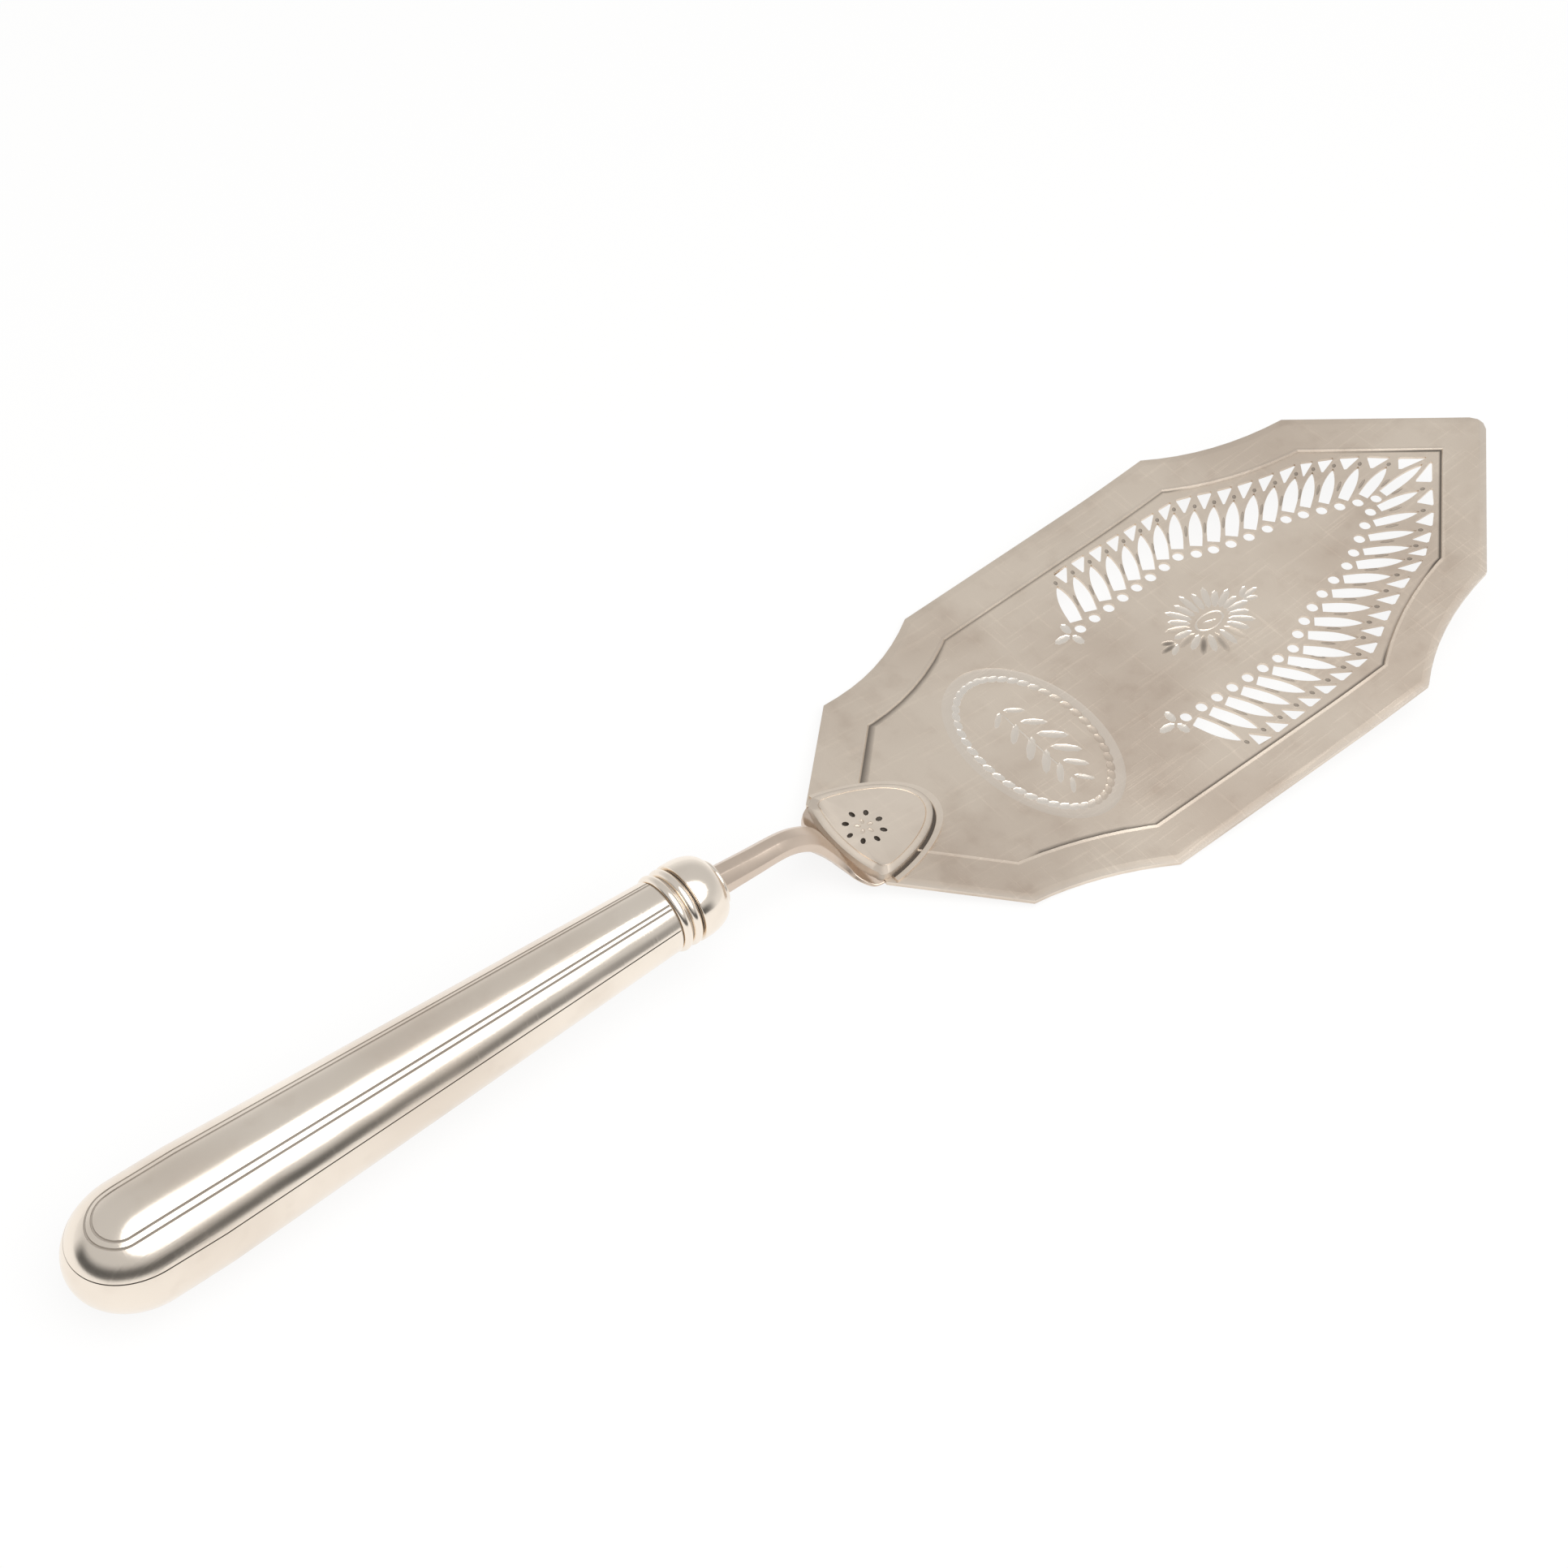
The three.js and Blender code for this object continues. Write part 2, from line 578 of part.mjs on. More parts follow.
const lying = new THREE.Group();
lying.add(makeBlade());
lying.add(makeShield());
lying.add(makeShank());
lying.add(handle);
lying.rotation.y = -Math.atan(restSlope());

// Set the slice down on z = 0 with the middle of its length over the origin
const slice = new THREE.Group();
slice.add(lying);
slice.updateMatrixWorld(true);
const box = new THREE.Box3().setFromObject(slice, true);
lying.position.set(-(box.min.x + box.max.x) / 2, 0, -box.min.z);

export default slice;
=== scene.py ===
import json
import math
from collections import namedtuple

import bmesh
import bpy
from bpy.props import FloatProperty, FloatVectorProperty, IntProperty, PointerProperty
from mathutils import Matrix, Quaternion, Vector


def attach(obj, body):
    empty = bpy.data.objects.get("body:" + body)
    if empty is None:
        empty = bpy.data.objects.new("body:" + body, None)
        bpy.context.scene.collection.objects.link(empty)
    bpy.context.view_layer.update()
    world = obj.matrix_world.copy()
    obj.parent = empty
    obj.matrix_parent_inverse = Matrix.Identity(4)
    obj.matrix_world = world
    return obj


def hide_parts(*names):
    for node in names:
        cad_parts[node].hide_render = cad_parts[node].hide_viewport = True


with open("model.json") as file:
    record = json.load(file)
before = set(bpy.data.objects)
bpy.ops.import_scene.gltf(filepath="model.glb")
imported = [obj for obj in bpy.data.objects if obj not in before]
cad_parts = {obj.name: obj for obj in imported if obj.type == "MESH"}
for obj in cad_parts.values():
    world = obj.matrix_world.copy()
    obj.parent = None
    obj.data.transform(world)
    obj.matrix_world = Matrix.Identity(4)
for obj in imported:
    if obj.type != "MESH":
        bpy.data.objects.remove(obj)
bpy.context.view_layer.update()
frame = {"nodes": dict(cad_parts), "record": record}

bl_info = {
    "name": "Pierced Silver Fish Slice",
    "version": (1, 0, 0),
    "blender": (4, 5, 0),
    "location": "3D View > Sidebar > Fish Slice",
    "description": "Dresses the fish slice's frame with its engraved, pierced and polished silver",
    "category": "Object",
}

MM = 0.001
WELD = 0.001 * MM
SHARP_ANGLE = math.radians(14)
FLAT_SHARE = math.cos(math.radians(3))
PATINA_AND_SHADE = "patina"


# Settings that a user may change

def length(label, about, millimetres):
    """A size, given in millimetres."""
    size = millimetres * MM
    return FloatProperty(name=label, description=about, default=size, unit="LENGTH", precision=4)


def corner(label, about, along, across):
    """A point of an outline, in millimetres along the blade and out from its axis."""
    place = (along * MM, across * MM)
    return FloatVectorProperty(
        name=label, description=about, default=place, size=2, unit="LENGTH", precision=4
    )


def angle(label, about, degrees):
    """An angle, given in degrees."""
    return FloatProperty(name=label, description=about, default=math.radians(degrees), subtype="ANGLE")


def ratio(label, about, value):
    """A plain number."""
    return FloatProperty(name=label, description=about, default=value)


def runs(label, about, *shares):
    """A number for each of the five runs of the blade's edge: flank, hollow, side, hollow and point."""
    return FloatVectorProperty(name=label, description=about, default=shares, size=5)


def count(label, about, value):
    """A number of like pieces or cuts."""
    return IntProperty(name=label, description=about, default=value, min=1)


def colour(label, about, *light):
    """A colour, as linear light."""
    return FloatVectorProperty(
        name=label, description=about, default=light, size=3, min=0, max=1, subtype="COLOR"
    )


def spot(label, about, *metres):
    """A point of the studio, given in metres."""
    return FloatVectorProperty(name=label, description=about, default=metres, size=3, subtype="TRANSLATION")


class FishSliceBlade(bpy.types.PropertyGroup):
    """Outline, bow and border of the blade."""

    thickness: length("Thickness", "Thickness of the sheet at its border", 1.0)
    heel: corner("Heel", "Rear corner of the sheet", -18.8, 10.8)
    shoulder: corner("Shoulder", "Corner where the heel's flank ends", 0, 28.2)
    shoulder_pull: corner("Shoulder pull", "Pull of the hollow behind the straight side", 15.1, 29.1)
    side_start: corner("Side start", "Rear end of the straight side", 27.5, 36.8)
    side_end: corner("Side end", "Front end of the straight side", 91.2, 37.9)
    point_pull: corner("Point pull", "Pull of the hollow before the straight side", 103.0, 29.05)
    point_start: corner("Point start", "Corner where the point begins", 119.8, 26.9)
    tip: length("Tip", "Where the two edges of the point would meet", 150.4)
    tip_cut: length("Tip cut", "How much of the sharp point is rounded off", 1.65)
    belly_rear: length("Belly rear", "Where the flat belly ends behind", 30)
    belly_front: length("Belly front", "Where the flat belly ends in front", 70)
    heel_bend: length("Heel bend", "Length over which the heel bends up", 23)
    heel_slope: ratio("Heel slope", "Slope of the heel behind its bend", 0.195)
    nose_bend: length("Nose bend", "Length over which the nose bends up", 14)
    nose_slope: ratio("Nose slope", "Slope of the nose before its bend", 0.062)
    bevel_width: length("Bevel width", "Width of the thinned outer edge", 1.5)
    bevel_drop: length("Bevel drop", "How far the outer edge is thinned", 0.12)
    border_width: length("Border width", "Flat border between the bevel and the bead", 6.4)
    bead_width: length("Bead width", "Width of the burnished bead inside the border", 0.55)
    bead_rise: length("Bead rise", "Height of the bead over the border", 0.1)
    step_width: length("Step width", "Width of the step down to the field", 0.32)
    field_drop: length("Field drop", "How far the field lies below the border", 0.3)
    field_hollow: length("Field hollow", "How far the underside is hollowed under the field", 0.16)
    # Painted shade: a dark line at the foot of the step, set for each run on the far and the near side, and
    # wider at the far corner of the heel
    step_shade_width: length("Grime width", "Width of the dark line along the foot of the step", 0.65)
    step_shade_fade: length("Grime fade", "Width over which that line fades into the field", 0.35)
    heel_shade_widening: length("Heel groove", "How much wider the line is at the far corner of the heel", 0.9)
    step_shade_far: runs("Far grime", "Grime along the far step, from heel to tip", 0.85, 0.8, 0.7, 0.35, 0.3)
    step_shade_near: runs("Near grime", "Grime along the near step, from heel to tip", 0.1, 0.85, 0.85, 0.5, 1.0)
    step_shade_spread: runs("Grime spread", "Share of it that reaches across the line", 0.55, 0.5, 0.1, 0, 0)
    # Painted shade along the far outer edge and a painted highlight along the near one
    far_edge_shade: ratio("Far edge", "Patina of the far outer edge", 0.16)
    near_edge_highlight: ratio("Near edge", "Patina of the near outer edge", -0.4)
    bead_polish: ratio("Bead polish", "Brightness of the burnished bead", 0.25)


class FishSliceBand(bpy.types.PropertyGroup):
    """Pierced band of eyes, lancets and spandrels."""

    side_cells: count("Side cells", "Cells along the straight side", 8)
    curve_cells: count("Curve cells", "Cells along the hollow curve", 6)
    point_cells: count("Point cells", "Cells along the point, without the one on the axis", 4)
    rail_start: corner("Rail start", "First eye", 51.8, 14.0)
    rail_side_end: corner("Rail side end", "Last eye of the straight side", 79.1, 15.2)
    rail_curve_start: corner("Rail curve start", "First eye of the curve", 82.3, 13.4)
    rail_curve_pull: corner("Rail curve pull", "Pull of the curve of eyes", 90.0, 9.6)
    rail_curve_end: corner("Rail curve end", "Last eye of the curve", 101.5, 8.0)
    rail_point_start: corner("Rail point start", "First eye of the point", 104.9, 6.6)
    rail_tip: length("Rail tip", "Eye on the axis", 118.4)
    lean_start: angle("Lean at start", "Lean of the first cell from the axis", 69.5)
    lean_side_end: angle("Lean at side end", "Lean where the straight side ends", 49)
    lean_curve_end: angle("Lean at curve end", "Lean where the curve ends", 34.5)
    eye_diameter: length("Eye diameter", "Diameter of each round eye", 2.3)
    lancet_start: length("Lancet start", "Distance from the eye to the lancet's blunt end", 1.85)
    lancet_length: length("Lancet length", "Length of each lancet", 9.5)
    axis_length: length("Axis lancet length", "Length of the lancet on the axis", 11.5)
    first_width: length("First lancet width", "Greatest width of the first lancet", 3.05)
    lancet_width: length("Lancet width", "Greatest width of the lancets of the curve", 2.75)
    point_width: length("Point lancet width", "Greatest width of the lancets of the point", 2.35)
    lancet_blunt: ratio("Lancet blunt end", "Share of its width that a lancet has at its blunt end", 0.88)
    lancet_belly: ratio("Lancet belly", "Share of its length at which a lancet is widest", 0.38)
    spandrel_start: length("Spandrel start", "Distance from the rail to the spandrel's apex", 10.4)
    spandrel_end: length("Spandrel end", "Distance from the rail to the spandrel's base", 14.5)
    curve_end: length("Curve spandrel end", "That distance on the hollow curve", 15.2)
    axis_end: length("Axis spandrel end", "That distance on the axis", 16.2)
    spandrel_base: ratio("Spandrel base", "Share of the gap between two cells that a base takes", 0.82)
    spandrel_ease: ratio("Spandrel ease", "Share of each side that a spandrel's cut corner takes", 0.1)
    nick_start: length("Nick start", "Distance from the rail to the nick on each bar", 6.0)
    nick_length: length("Nick length", "Length of each nick", 3.0)
    nick_width: length("Nick width", "Width of each nick", 0.6)
    # Painted shade: each nick darkens its bar like the shade along the bars' edges
    nick_shade: ratio("Nick grime", "Grime in the nick on each bar", 0.5)
    dot_gap: length("Dot gap", "Distance from a lancet's point to the dot beyond it", 0.75)
    dot_length: length("Dot length", "Length of each dot", 1.1)
    dot_width: length("Dot width", "Width of each dot", 0.8)
    dot_grime: ratio("Dot grime", "Grime in each dot", 0.62)


class FishSliceEngraving(bpy.types.PropertyGroup):
    """Bright-cut ornament on the field."""

    depth: length("Depth", "Depth of the broad cuts", 0.16)
    oval_centre: corner("Oval centre", "Middle of the medallion", 25.9, -0.4)
    oval_radii: corner("Oval radii", "Half length and half width of its twisted line", 10.9, 17.3)
    oval_cuts: count("Oval cuts", "Cuts in the medallion's twisted line", 44)
    oval_cut_length: length("Oval cut length", "Length of each cut in the twisted line", 2.7)
    oval_cut_width: length("Oval cut width", "Width of each cut in the twisted line", 1.6)
    oval_twist: angle("Oval twist", "Slant of each cut from the line", 16)
    # Painted shade in the cuts of the twisted line on one side of the medallion
    oval_shade: ratio("Oval grime", "Grime in the cuts of the twisted line where it lies thickest", 0.25)
    oval_shade_turn: angle("Oval grime turn", "Where that is, as an angle round the medallion", -35)
    cove_offset: length("Cove offset", "Distance from the twisted line to the cove round it", 1.5)
    cove_width: length("Cove width", "Width of the cove", 1.9)
    cove_depth: length("Cove depth", "Depth of the cove", 0.07)
    cove_polish: ratio("Cove polish", "Brightness of the cove", 0.4)
    soft_depth: length("Soft depth", "Depth of the soft cuts of the spray and the rosette", 0.15)
    soft_polish: ratio("Soft polish", "Brightness of those soft cuts", 0.65)
    spray_leaves: count("Spray leaves", "Leaves on each side of the spray in the medallion", 6)
    spray_reach: length("Spray reach", "Half length of the spray", 11.5)
    spray_leaf: length("Spray leaf", "Length of the spray's longest leaves", 6.4)
    rose_centre: corner("Rosette centre", "Middle of the rosette", 71.9, -0.3)
    rose_petals: count("Rosette petals", "Petals of the rosette", 22)
    rose_inner: corner("Rosette inner radii", "Half length and half width inside the petals", 4.3, 2.7)
    rose_outer: corner("Rosette outer radii", "Half length and half width round the petals", 9.4, 8.2)
    # Painted shade in the petals on one side of the rosette and on two leaves at its rear end
    rose_shade: ratio("Rosette grime", "Grime in the petals where it lies thickest", 0.75)
    rose_shade_turn: angle("Rosette grime turn", "Where that is, as an angle round the rosette", -135)
    rose_petal_width: length("Petal width", "Width of each petal", 1.6)
    rose_eye: corner("Rosette eye radii", "Half length and half width of the rosette's eye", 3.2, 1.7)
    rose_leaf_reach: length("Rosette leaf reach", "How far the end leaves reach from the middle", 12.9)
    sprig_centre: corner("Sprig centre", "Middle of the sprig at the rear end of each band", 49.3, 13.9)
    sprig_leaf: length("Sprig leaf", "Length of each sprig's leaves", 3.6)
    sprig_width: length("Sprig leaf width", "Width of each sprig's leaves", 1.75)


class FishSliceShield(bpy.types.PropertyGroup):
    """Shield plate over the heel."""

    thickness: length("Thickness", "Thickness of the plate", 1.5)
    seat: length("Seat", "Solder under the plate", 0.3)
    reach: length("Reach", "Length from the heel to the apex", 18.5)
    half_width: length("Half width", "Half the width over the heel", 10.4)
    overhang: length("Overhang", "How far the plate reaches behind the heel", 2.3)
    corner_round: length("Corner", "Size of the round rear corners", 1.6)
    flank_pull: length("Flank pull", "Pull of the long curve, ahead of the heel", 6.5)
    flank_taper: length("Flank taper", "How far that pull lies in from the corner", 0.6)
    apex_pull: length("Apex pull", "Pull of the long curve out from the apex", 6.2)
    flange: length("Flange", "Width of the solder flange before the plate", 0.9)
    flange_thickness: length("Flange thickness", "Thickness of the flange over the border", 0.3)
    # The groove's floor is painted dark as the shade under the plate's edge
    groove: length("Groove", "Width of the dark groove between the flange and the plate", 0.6)
    rear_thinning: ratio("Rear thinning", "Share of its height that the plate loses at its rear", 0.6)
    rear_lean: ratio("Rear lean", "Forward lean of the rear wall", 0.35)
    rear_skirt: length("Rear skirt", "How far the rear wall reaches down onto the palm", 0.7)
    # Painted shade on the rim's outer edge, the rear wall and the two rear corners, dimming their
    # highlights
    rim_shade: ratio("Rim grime", "Grime on the rim's outer edge and the rear wall", 0.5)
    corner_shade: ratio("Corner grime", "Grime on the two rear corners", 0.45)
    rim_width: length("Rim width", "Width of the sloping rim", 1.3)
    rim_drop: length("Rim drop", "How far the rim slopes down", 0.25)
    line: length("Line", "Depth and half width of the incised line inside the rim", 0.14)
    prick_centre: length("Prick centre", "Middle of the ring of pricks", -14.6)
    prick_ring: length("Prick ring", "Radius of the ring of pricks", 3.35)
    pricks: count("Pricks", "Pricks in the ring", 8)
    prick_length: length("Prick length", "Length of each prick", 1.4)
    prick_width: length("Prick width", "Width of each prick", 1.0)
    prick_depth: length("Prick depth", "Depth of the foremost prick", 0.45)
    prick_bias: ratio("Prick bias", "How much deeper the rearmost prick is struck, as a share", 1.2)
    petals: count("Petals", "Petals of the small flower in the ring", 5)
    petal_ring: length("Petal ring", "Radius of the ring of petals", 1.25)
    petal_length: length("Petal length", "Length of each petal", 1.3)
    petal_width: length("Petal width", "Width of each petal", 0.8)
    petal_depth: length("Petal depth", "Depth of each petal", 0.2)
    petal_grime: ratio("Petal grime", "Grime in each petal", 0.35)


class FishSliceShank(bpy.types.PropertyGroup):
    """Cranked shank between the handle and the heel."""

    reach: length("Reach", "Length from the ferrule to the heel", 29.6)
    rise: length("Rise", "Height of the ferrule over the palm", 14.5)
    root_width: length("Root width", "Width at the ferrule", 4.8)
    root_depth: length("Root depth", "Depth at the ferrule", 6.0)
    waist_width: length("Waist width", "Width at the waist", 4.4)
    waist_depth: length("Waist depth", "Depth at the waist", 4.2)
    palm_thickness: length("Palm thickness", "Thickness where it meets the heel", 1.2)
    ease: length("Ease", "How far the long edges are eased", 0.22)
    crank_back: length("Crank back", "How far behind the shield the drop ends", 1.3)
    tang_length: length("Tang length", "Length of the tang in the handle", 58)
    tang_width: length("Tang width", "Width of the tang at its root", 3.4)
    tang_tip: length("Tang tip", "Width of the tang at its end", 1.8)


class FishSliceHandle(bpy.types.PropertyGroup):
    """Turned ferrule, rings and filled tubular handle."""

    tilt: angle("Tilt", "Tilt of the handle against the blade's belly", 3.35)
    seat: length("Seat", "Gap at each seat", 0.3)
    cap_front_radius: length("Cap front radius", "Radius of the cap's front face", 4.7)
    cap_radius: length("Cap radius", "Radius of the cap's dome", 7.0)
    cap_length: length("Cap length", "Length of the cap's dome and rim", 6.2)
    cap_rim: length("Cap rim", "Straight rim of the cap", 1.3)
    sleeve_radius: length("Sleeve radius", "Radius of the cap's sleeve", 5.4)
    sleeve_length: length("Sleeve length", "Length of the cap's sleeve", 7.6)
    bore: length("Bore", "Radius of the bore for the tang", 2.7)
    ring_width: length("Ring width", "Width of each reeded ring", 1.75)
    ring_radius: length("Ring radius", "Radius of each ring's crest", 6.95)
    collar_radius: length("Collar radius", "Radius of the shank's collar", 4.4)
    collar_bore: length("Collar bore", "Radius of the collar's bore", 3.55)
    collar_width: length("Collar width", "Width of the collar", 0.9)
    # Painted shade between the rings behind the cap; grime sets both that shade and the grime in the
    # threads
    ring_shade_radius: length("Grime radius", "Radius below which grime sits between the rings", 6.2)
    grime: ratio("Grime", "Grime between the rings and in the threads", 0.5)
    front_radius: length("Front radius", "Radius of the handle behind the rings", 6.45)
    rear_radius: length("Rear radius", "Radius of the handle before the butt", 9.945)
    taper: length("Taper", "Length of the tapered part", 85.5)
    parallel: length("Parallel", "Length of the straight part", 9.5)
    butt: length("Butt", "Length of the rounded butt", 11.88)
    wall: length("Wall", "Thickness of the shells", 0.6)
    seam_front: length("Seam front", "Height of the seam over the axis at the front", 2.7)
    seam_rear: length("Seam rear", "Height of the seam over the axis at the butt", 4.2)
    seam_gap: length("Seam gap", "Gap between the shells at the seam", 0.18)
    thread_inner: angle("Inner thread", "Angle of the inner thread from the top", 24)
    thread_outer: angle("Outer thread", "Angle of the outer thread from the top", 30.5)
    thread_width: length("Thread width", "Width of each engraved thread", 0.42)
    thread_turn: length("Thread turn", "How far past the straight part the threads begin to turn", 2.4)
    thread_end: length("Thread end", "Length of the turn of the outer thread", 4.6)


class FishSliceFinish(bpy.types.PropertyGroup):
    """Colours and polish of the silver and the pitch."""

    blade: colour("Blade", "Satin silver of the blade", 0.84, 0.735, 0.62)
    blade_tarnish: colour("Blade tarnish", "Clouds of tarnish on the blade", 0.58, 0.485, 0.4)
    shield: colour("Shield", "Satin silver of the shield", 0.93, 0.82, 0.7)
    shank: colour("Shank", "Darker silver of the shank", 0.71, 0.59, 0.49)
    handle: colour("Handle", "Polished silver of the handle", 0.93, 0.84, 0.735)
    handle_tarnish: colour("Handle tarnish", "Thin tarnish on the handle", 0.75, 0.65, 0.55)
    # bright also lights the near outer edge as a painted highlight; grime also darkens grooves, corners and
    # the step as painted shade
    bright: colour("Bright cut", "Clean silver of the bright cuts", 0.93, 0.86, 0.775)
    grime: colour("Grime", "Dark grime in cuts and corners", 0.07, 0.055, 0.042)
    pitch: colour("Pitch", "Dark pitch inside the handle", 0.045, 0.034, 0.028)
    cut_polish: ratio("Cut polish", "Share of the roughness that a bright cut loses", 0.3)
    blade_roughness: ratio("Blade roughness", "Roughness of the satin blade", 0.36)
    shield_roughness: ratio("Shield roughness", "Roughness of the satin shield", 0.32)
    handle_roughness: ratio("Handle roughness", "Roughness of the polished handle", 0.15)


class FishSliceStage(bpy.types.PropertyGroup):
    """Camera, floor and studio light."""

    camera_place: spot("Camera place", "Where the camera stands", -0.21004, -0.18507, 0.32562)
    camera_target: spot("Camera target", "Point at the middle of the picture", -0.0134, 0.01278, 0.01)
    camera_roll: angle("Camera roll", "Turn of the camera about its line of sight", 6.79)
    lens: ratio("Lens", "Focal length in millimetres on a 36 mm sensor", 55.9)
    floor_size: length("Floor size", "Side of the floor", 9000)
    floor_colour: colour("Floor", "Pale floor", 0.93, 0.92, 0.9)
    floor_glow: ratio("Floor glow", "Share of plain white in the floor as it is seen", 0.84)
    box_place: spot("Softbox place", "Middle of the softbox", -0.03, -0.37, 0.83)
    box_size: length("Softbox size", "Side of the softbox", 1150)
    box_power: ratio("Softbox power", "Power of the softbox in watts", 7.0)
    backdrop_light: ratio("Backdrop light", "Light of the background as it is seen", 0.93)
    wall_light: ratio("Wall light", "Light of the studio's walls", 0.62)
    horizon_light: ratio("Horizon light", "Light of the studio near the floor", 0.85)
    curtain_light: ratio("Curtain light", "Light of the dark curtain behind the camera", 0.1)


class FishSliceSettings(bpy.types.PropertyGroup):
    """All settings of the slice."""

    blade: PointerProperty(type=FishSliceBlade)
    band: PointerProperty(type=FishSliceBand)
    engraving: PointerProperty(type=FishSliceEngraving)
    shield: PointerProperty(type=FishSliceShield)
    shank: PointerProperty(type=FishSliceShank)
    handle: PointerProperty(type=FishSliceHandle)
    finish: PointerProperty(type=FishSliceFinish)
    stage: PointerProperty(type=FishSliceStage)


# Axes: the blade's own axes lie on its belly, and the handle's start at the ferrule's front face

BELLY_MOUNT = next(mount for mount in frame["record"]["mounts"] if mount["name"] == "belly_rest")
BELLY_X = 39 * MM


def blade_place():
    """The blade's axes in the part's frame, found from the mount on its belly."""
    axis = BELLY_MOUNT["axis"]
    pitch = math.atan2(axis[0], -axis[2])
    return (
        Matrix.Translation(BELLY_MOUNT["pos_m"])
        @ Matrix.Rotation(-pitch, 4, "Y")
        @ Matrix.Translation((-BELLY_X, 0, 0))
    )


def ferrule_point(settings):
    """Middle of the ferrule's front face in the blade's axes."""
    blade = settings.blade
    shank = settings.shank
    heel = blade.heel[0]
    palm = bow(blade, heel) + blade.thickness - shank.palm_thickness / 2
    return Vector((heel - shank.reach, 0, palm + shank.rise))


def handle_place(settings):
    """The handle's axes in the part's frame: it runs back along its own minus X."""
    tilt = Matrix.Rotation(settings.handle.tilt, 4, "Y")
    return blade_place() @ Matrix.Translation(ferrule_point(settings)) @ tilt


# Bow of the blade

def rise(past, bend, slope):
    """Height that a sheet gains past the start of a bend: a parabola, then a straight run."""
    if past <= 0:
        return 0
    if past < bend:
        return slope * past * past / (2 * bend)
    return slope * (past - bend / 2)


def bow(blade, along):
    """Height of the blade's underside over its belly."""
    heel = rise(blade.belly_rear - along, blade.heel_bend, blade.heel_slope)
    nose = rise(along - blade.belly_front, blade.nose_bend, blade.nose_slope)
    return heel + nose


def lift_on_bow(bm, blade, level):
    """Lay flat work on the bowed sheet, at a level over its underside."""
    for vert in bm.verts:
        vert.co.z += level + bow(blade, vert.co.x)


def field_level(blade):
    """Level of the field over the sheet's underside."""
    return blade.thickness - blade.field_drop


# Mesh tools

def spread(start, end, steps):
    """Evenly spaced numbers from start to end, both included."""
    return [start + (end - start) * step / steps for step in range(steps + 1)]


def blend(start, end, share):
    """What lies a share of the way from start to end."""
    return start + (end - start) * share


def ray(turn):
    """A step of one on flat work, at a turn from the axis."""
    return Vector((math.cos(turn), math.sin(turn)))


def hollow_curve(start, pull, end, steps=8):
    """Points of a curve between two corners, drawn towards a third point."""
    start, pull, end = Vector(start), Vector(pull), Vector(end)
    return [start * (1 - t) ** 2 + pull * 2 * t * (1 - t) + end * t * t for t in spread(0, 1, steps)]


def long_curve(start, pull, late_pull, end, steps=24):
    """Points of a curve with a pull at each end."""
    points = []
    for t in spread(0, 1, steps):
        early = start * (1 - t) ** 3 + pull * 3 * t * (1 - t) ** 2
        points.append(early + late_pull * 3 * t * t * (1 - t) + end * t ** 3)
    return points


def outline_face(bm, half, level=0):
    """Close a half outline with its mirror image and fill it with one face that looks up."""
    verts = [bm.verts.new((point.x, point.y, level)) for point in half]
    for pair in zip(verts, verts[1:]):
        bm.edges.new(pair)
    bmesh.ops.mirror(bm, geom=bm.verts[:] + bm.edges[:], axis="Y", merge_dist=WELD)
    bmesh.ops.remove_doubles(bm, verts=bm.verts[:], dist=WELD)
    face = bmesh.ops.contextual_create(bm, geom=bm.edges[:])["faces"][0]
    face.normal_update()
    if face.normal.z < 0:
        face.normal_flip()
    return face


def step_in(bm, face, width, height=0):
    """Inset a face and lift what is left of it."""
    bmesh.ops.inset_region(
        bm, faces=[face], thickness=width, depth=height, use_boundary=True, use_even_offset=True
    )


def grow_face(bm, face):
    """Extrude a face in place and return the new one; a face between others goes, a lone one stays."""
    inner = all(len(edge.link_faces) > 1 for edge in face.edges)
    made = bmesh.ops.extrude_face_region(bm, geom=[face])["geom"]
    if inner:
        bmesh.ops.delete(bm, geom=[face], context="FACES_ONLY")
    return next(item for item in made if isinstance(item, bmesh.types.BMFace))


def raise_face(bm, face, height):
    """Extrude a face up and return the lifted one."""
    lifted = grow_face(bm, face)
    bmesh.ops.translate(bm, vec=(0, 0, height), verts=lifted.verts[:])
    return lifted


def shrink_face(bm, face, centre, share, height):
    """Extrude a face up, drawn in towards a centre, and return it."""
    lifted = raise_face(bm, face, height)
    about = Matrix.Translation((-centre, 0, 0))
    bmesh.ops.scale(bm, vec=(share, share, 1), space=about, verts=lifted.verts[:])
    return lifted


def add_underside(bm, level, hollow):
    """Give an upper surface walls and an underside at zero, hollowed under what lies at a level."""
    made = bmesh.ops.extrude_face_region(bm, geom=bm.faces[:])["geom"]
    for item in made:
        if isinstance(item, bmesh.types.BMVert):
            item.co.z = hollow if abs(item.co.z - level) < WELD else 0
    bmesh.ops.recalc_face_normals(bm, faces=bm.faces[:])


def cut_plane(bm, point, normal, **clear):
    """Cut a mesh along a plane, and clear the side of it that is asked for."""
    geom = bm.verts[:] + bm.edges[:] + bm.faces[:]
    return bmesh.ops.bisect_plane(bm, geom=geom, dist=WELD, plane_co=point, plane_no=normal, **clear)


def slice_across(bm, stations):
    """Cut a mesh across at each station so that it can bend there."""
    for station in stations:
        cut_plane(bm, (station, 0, 0), (1, 0, 0))


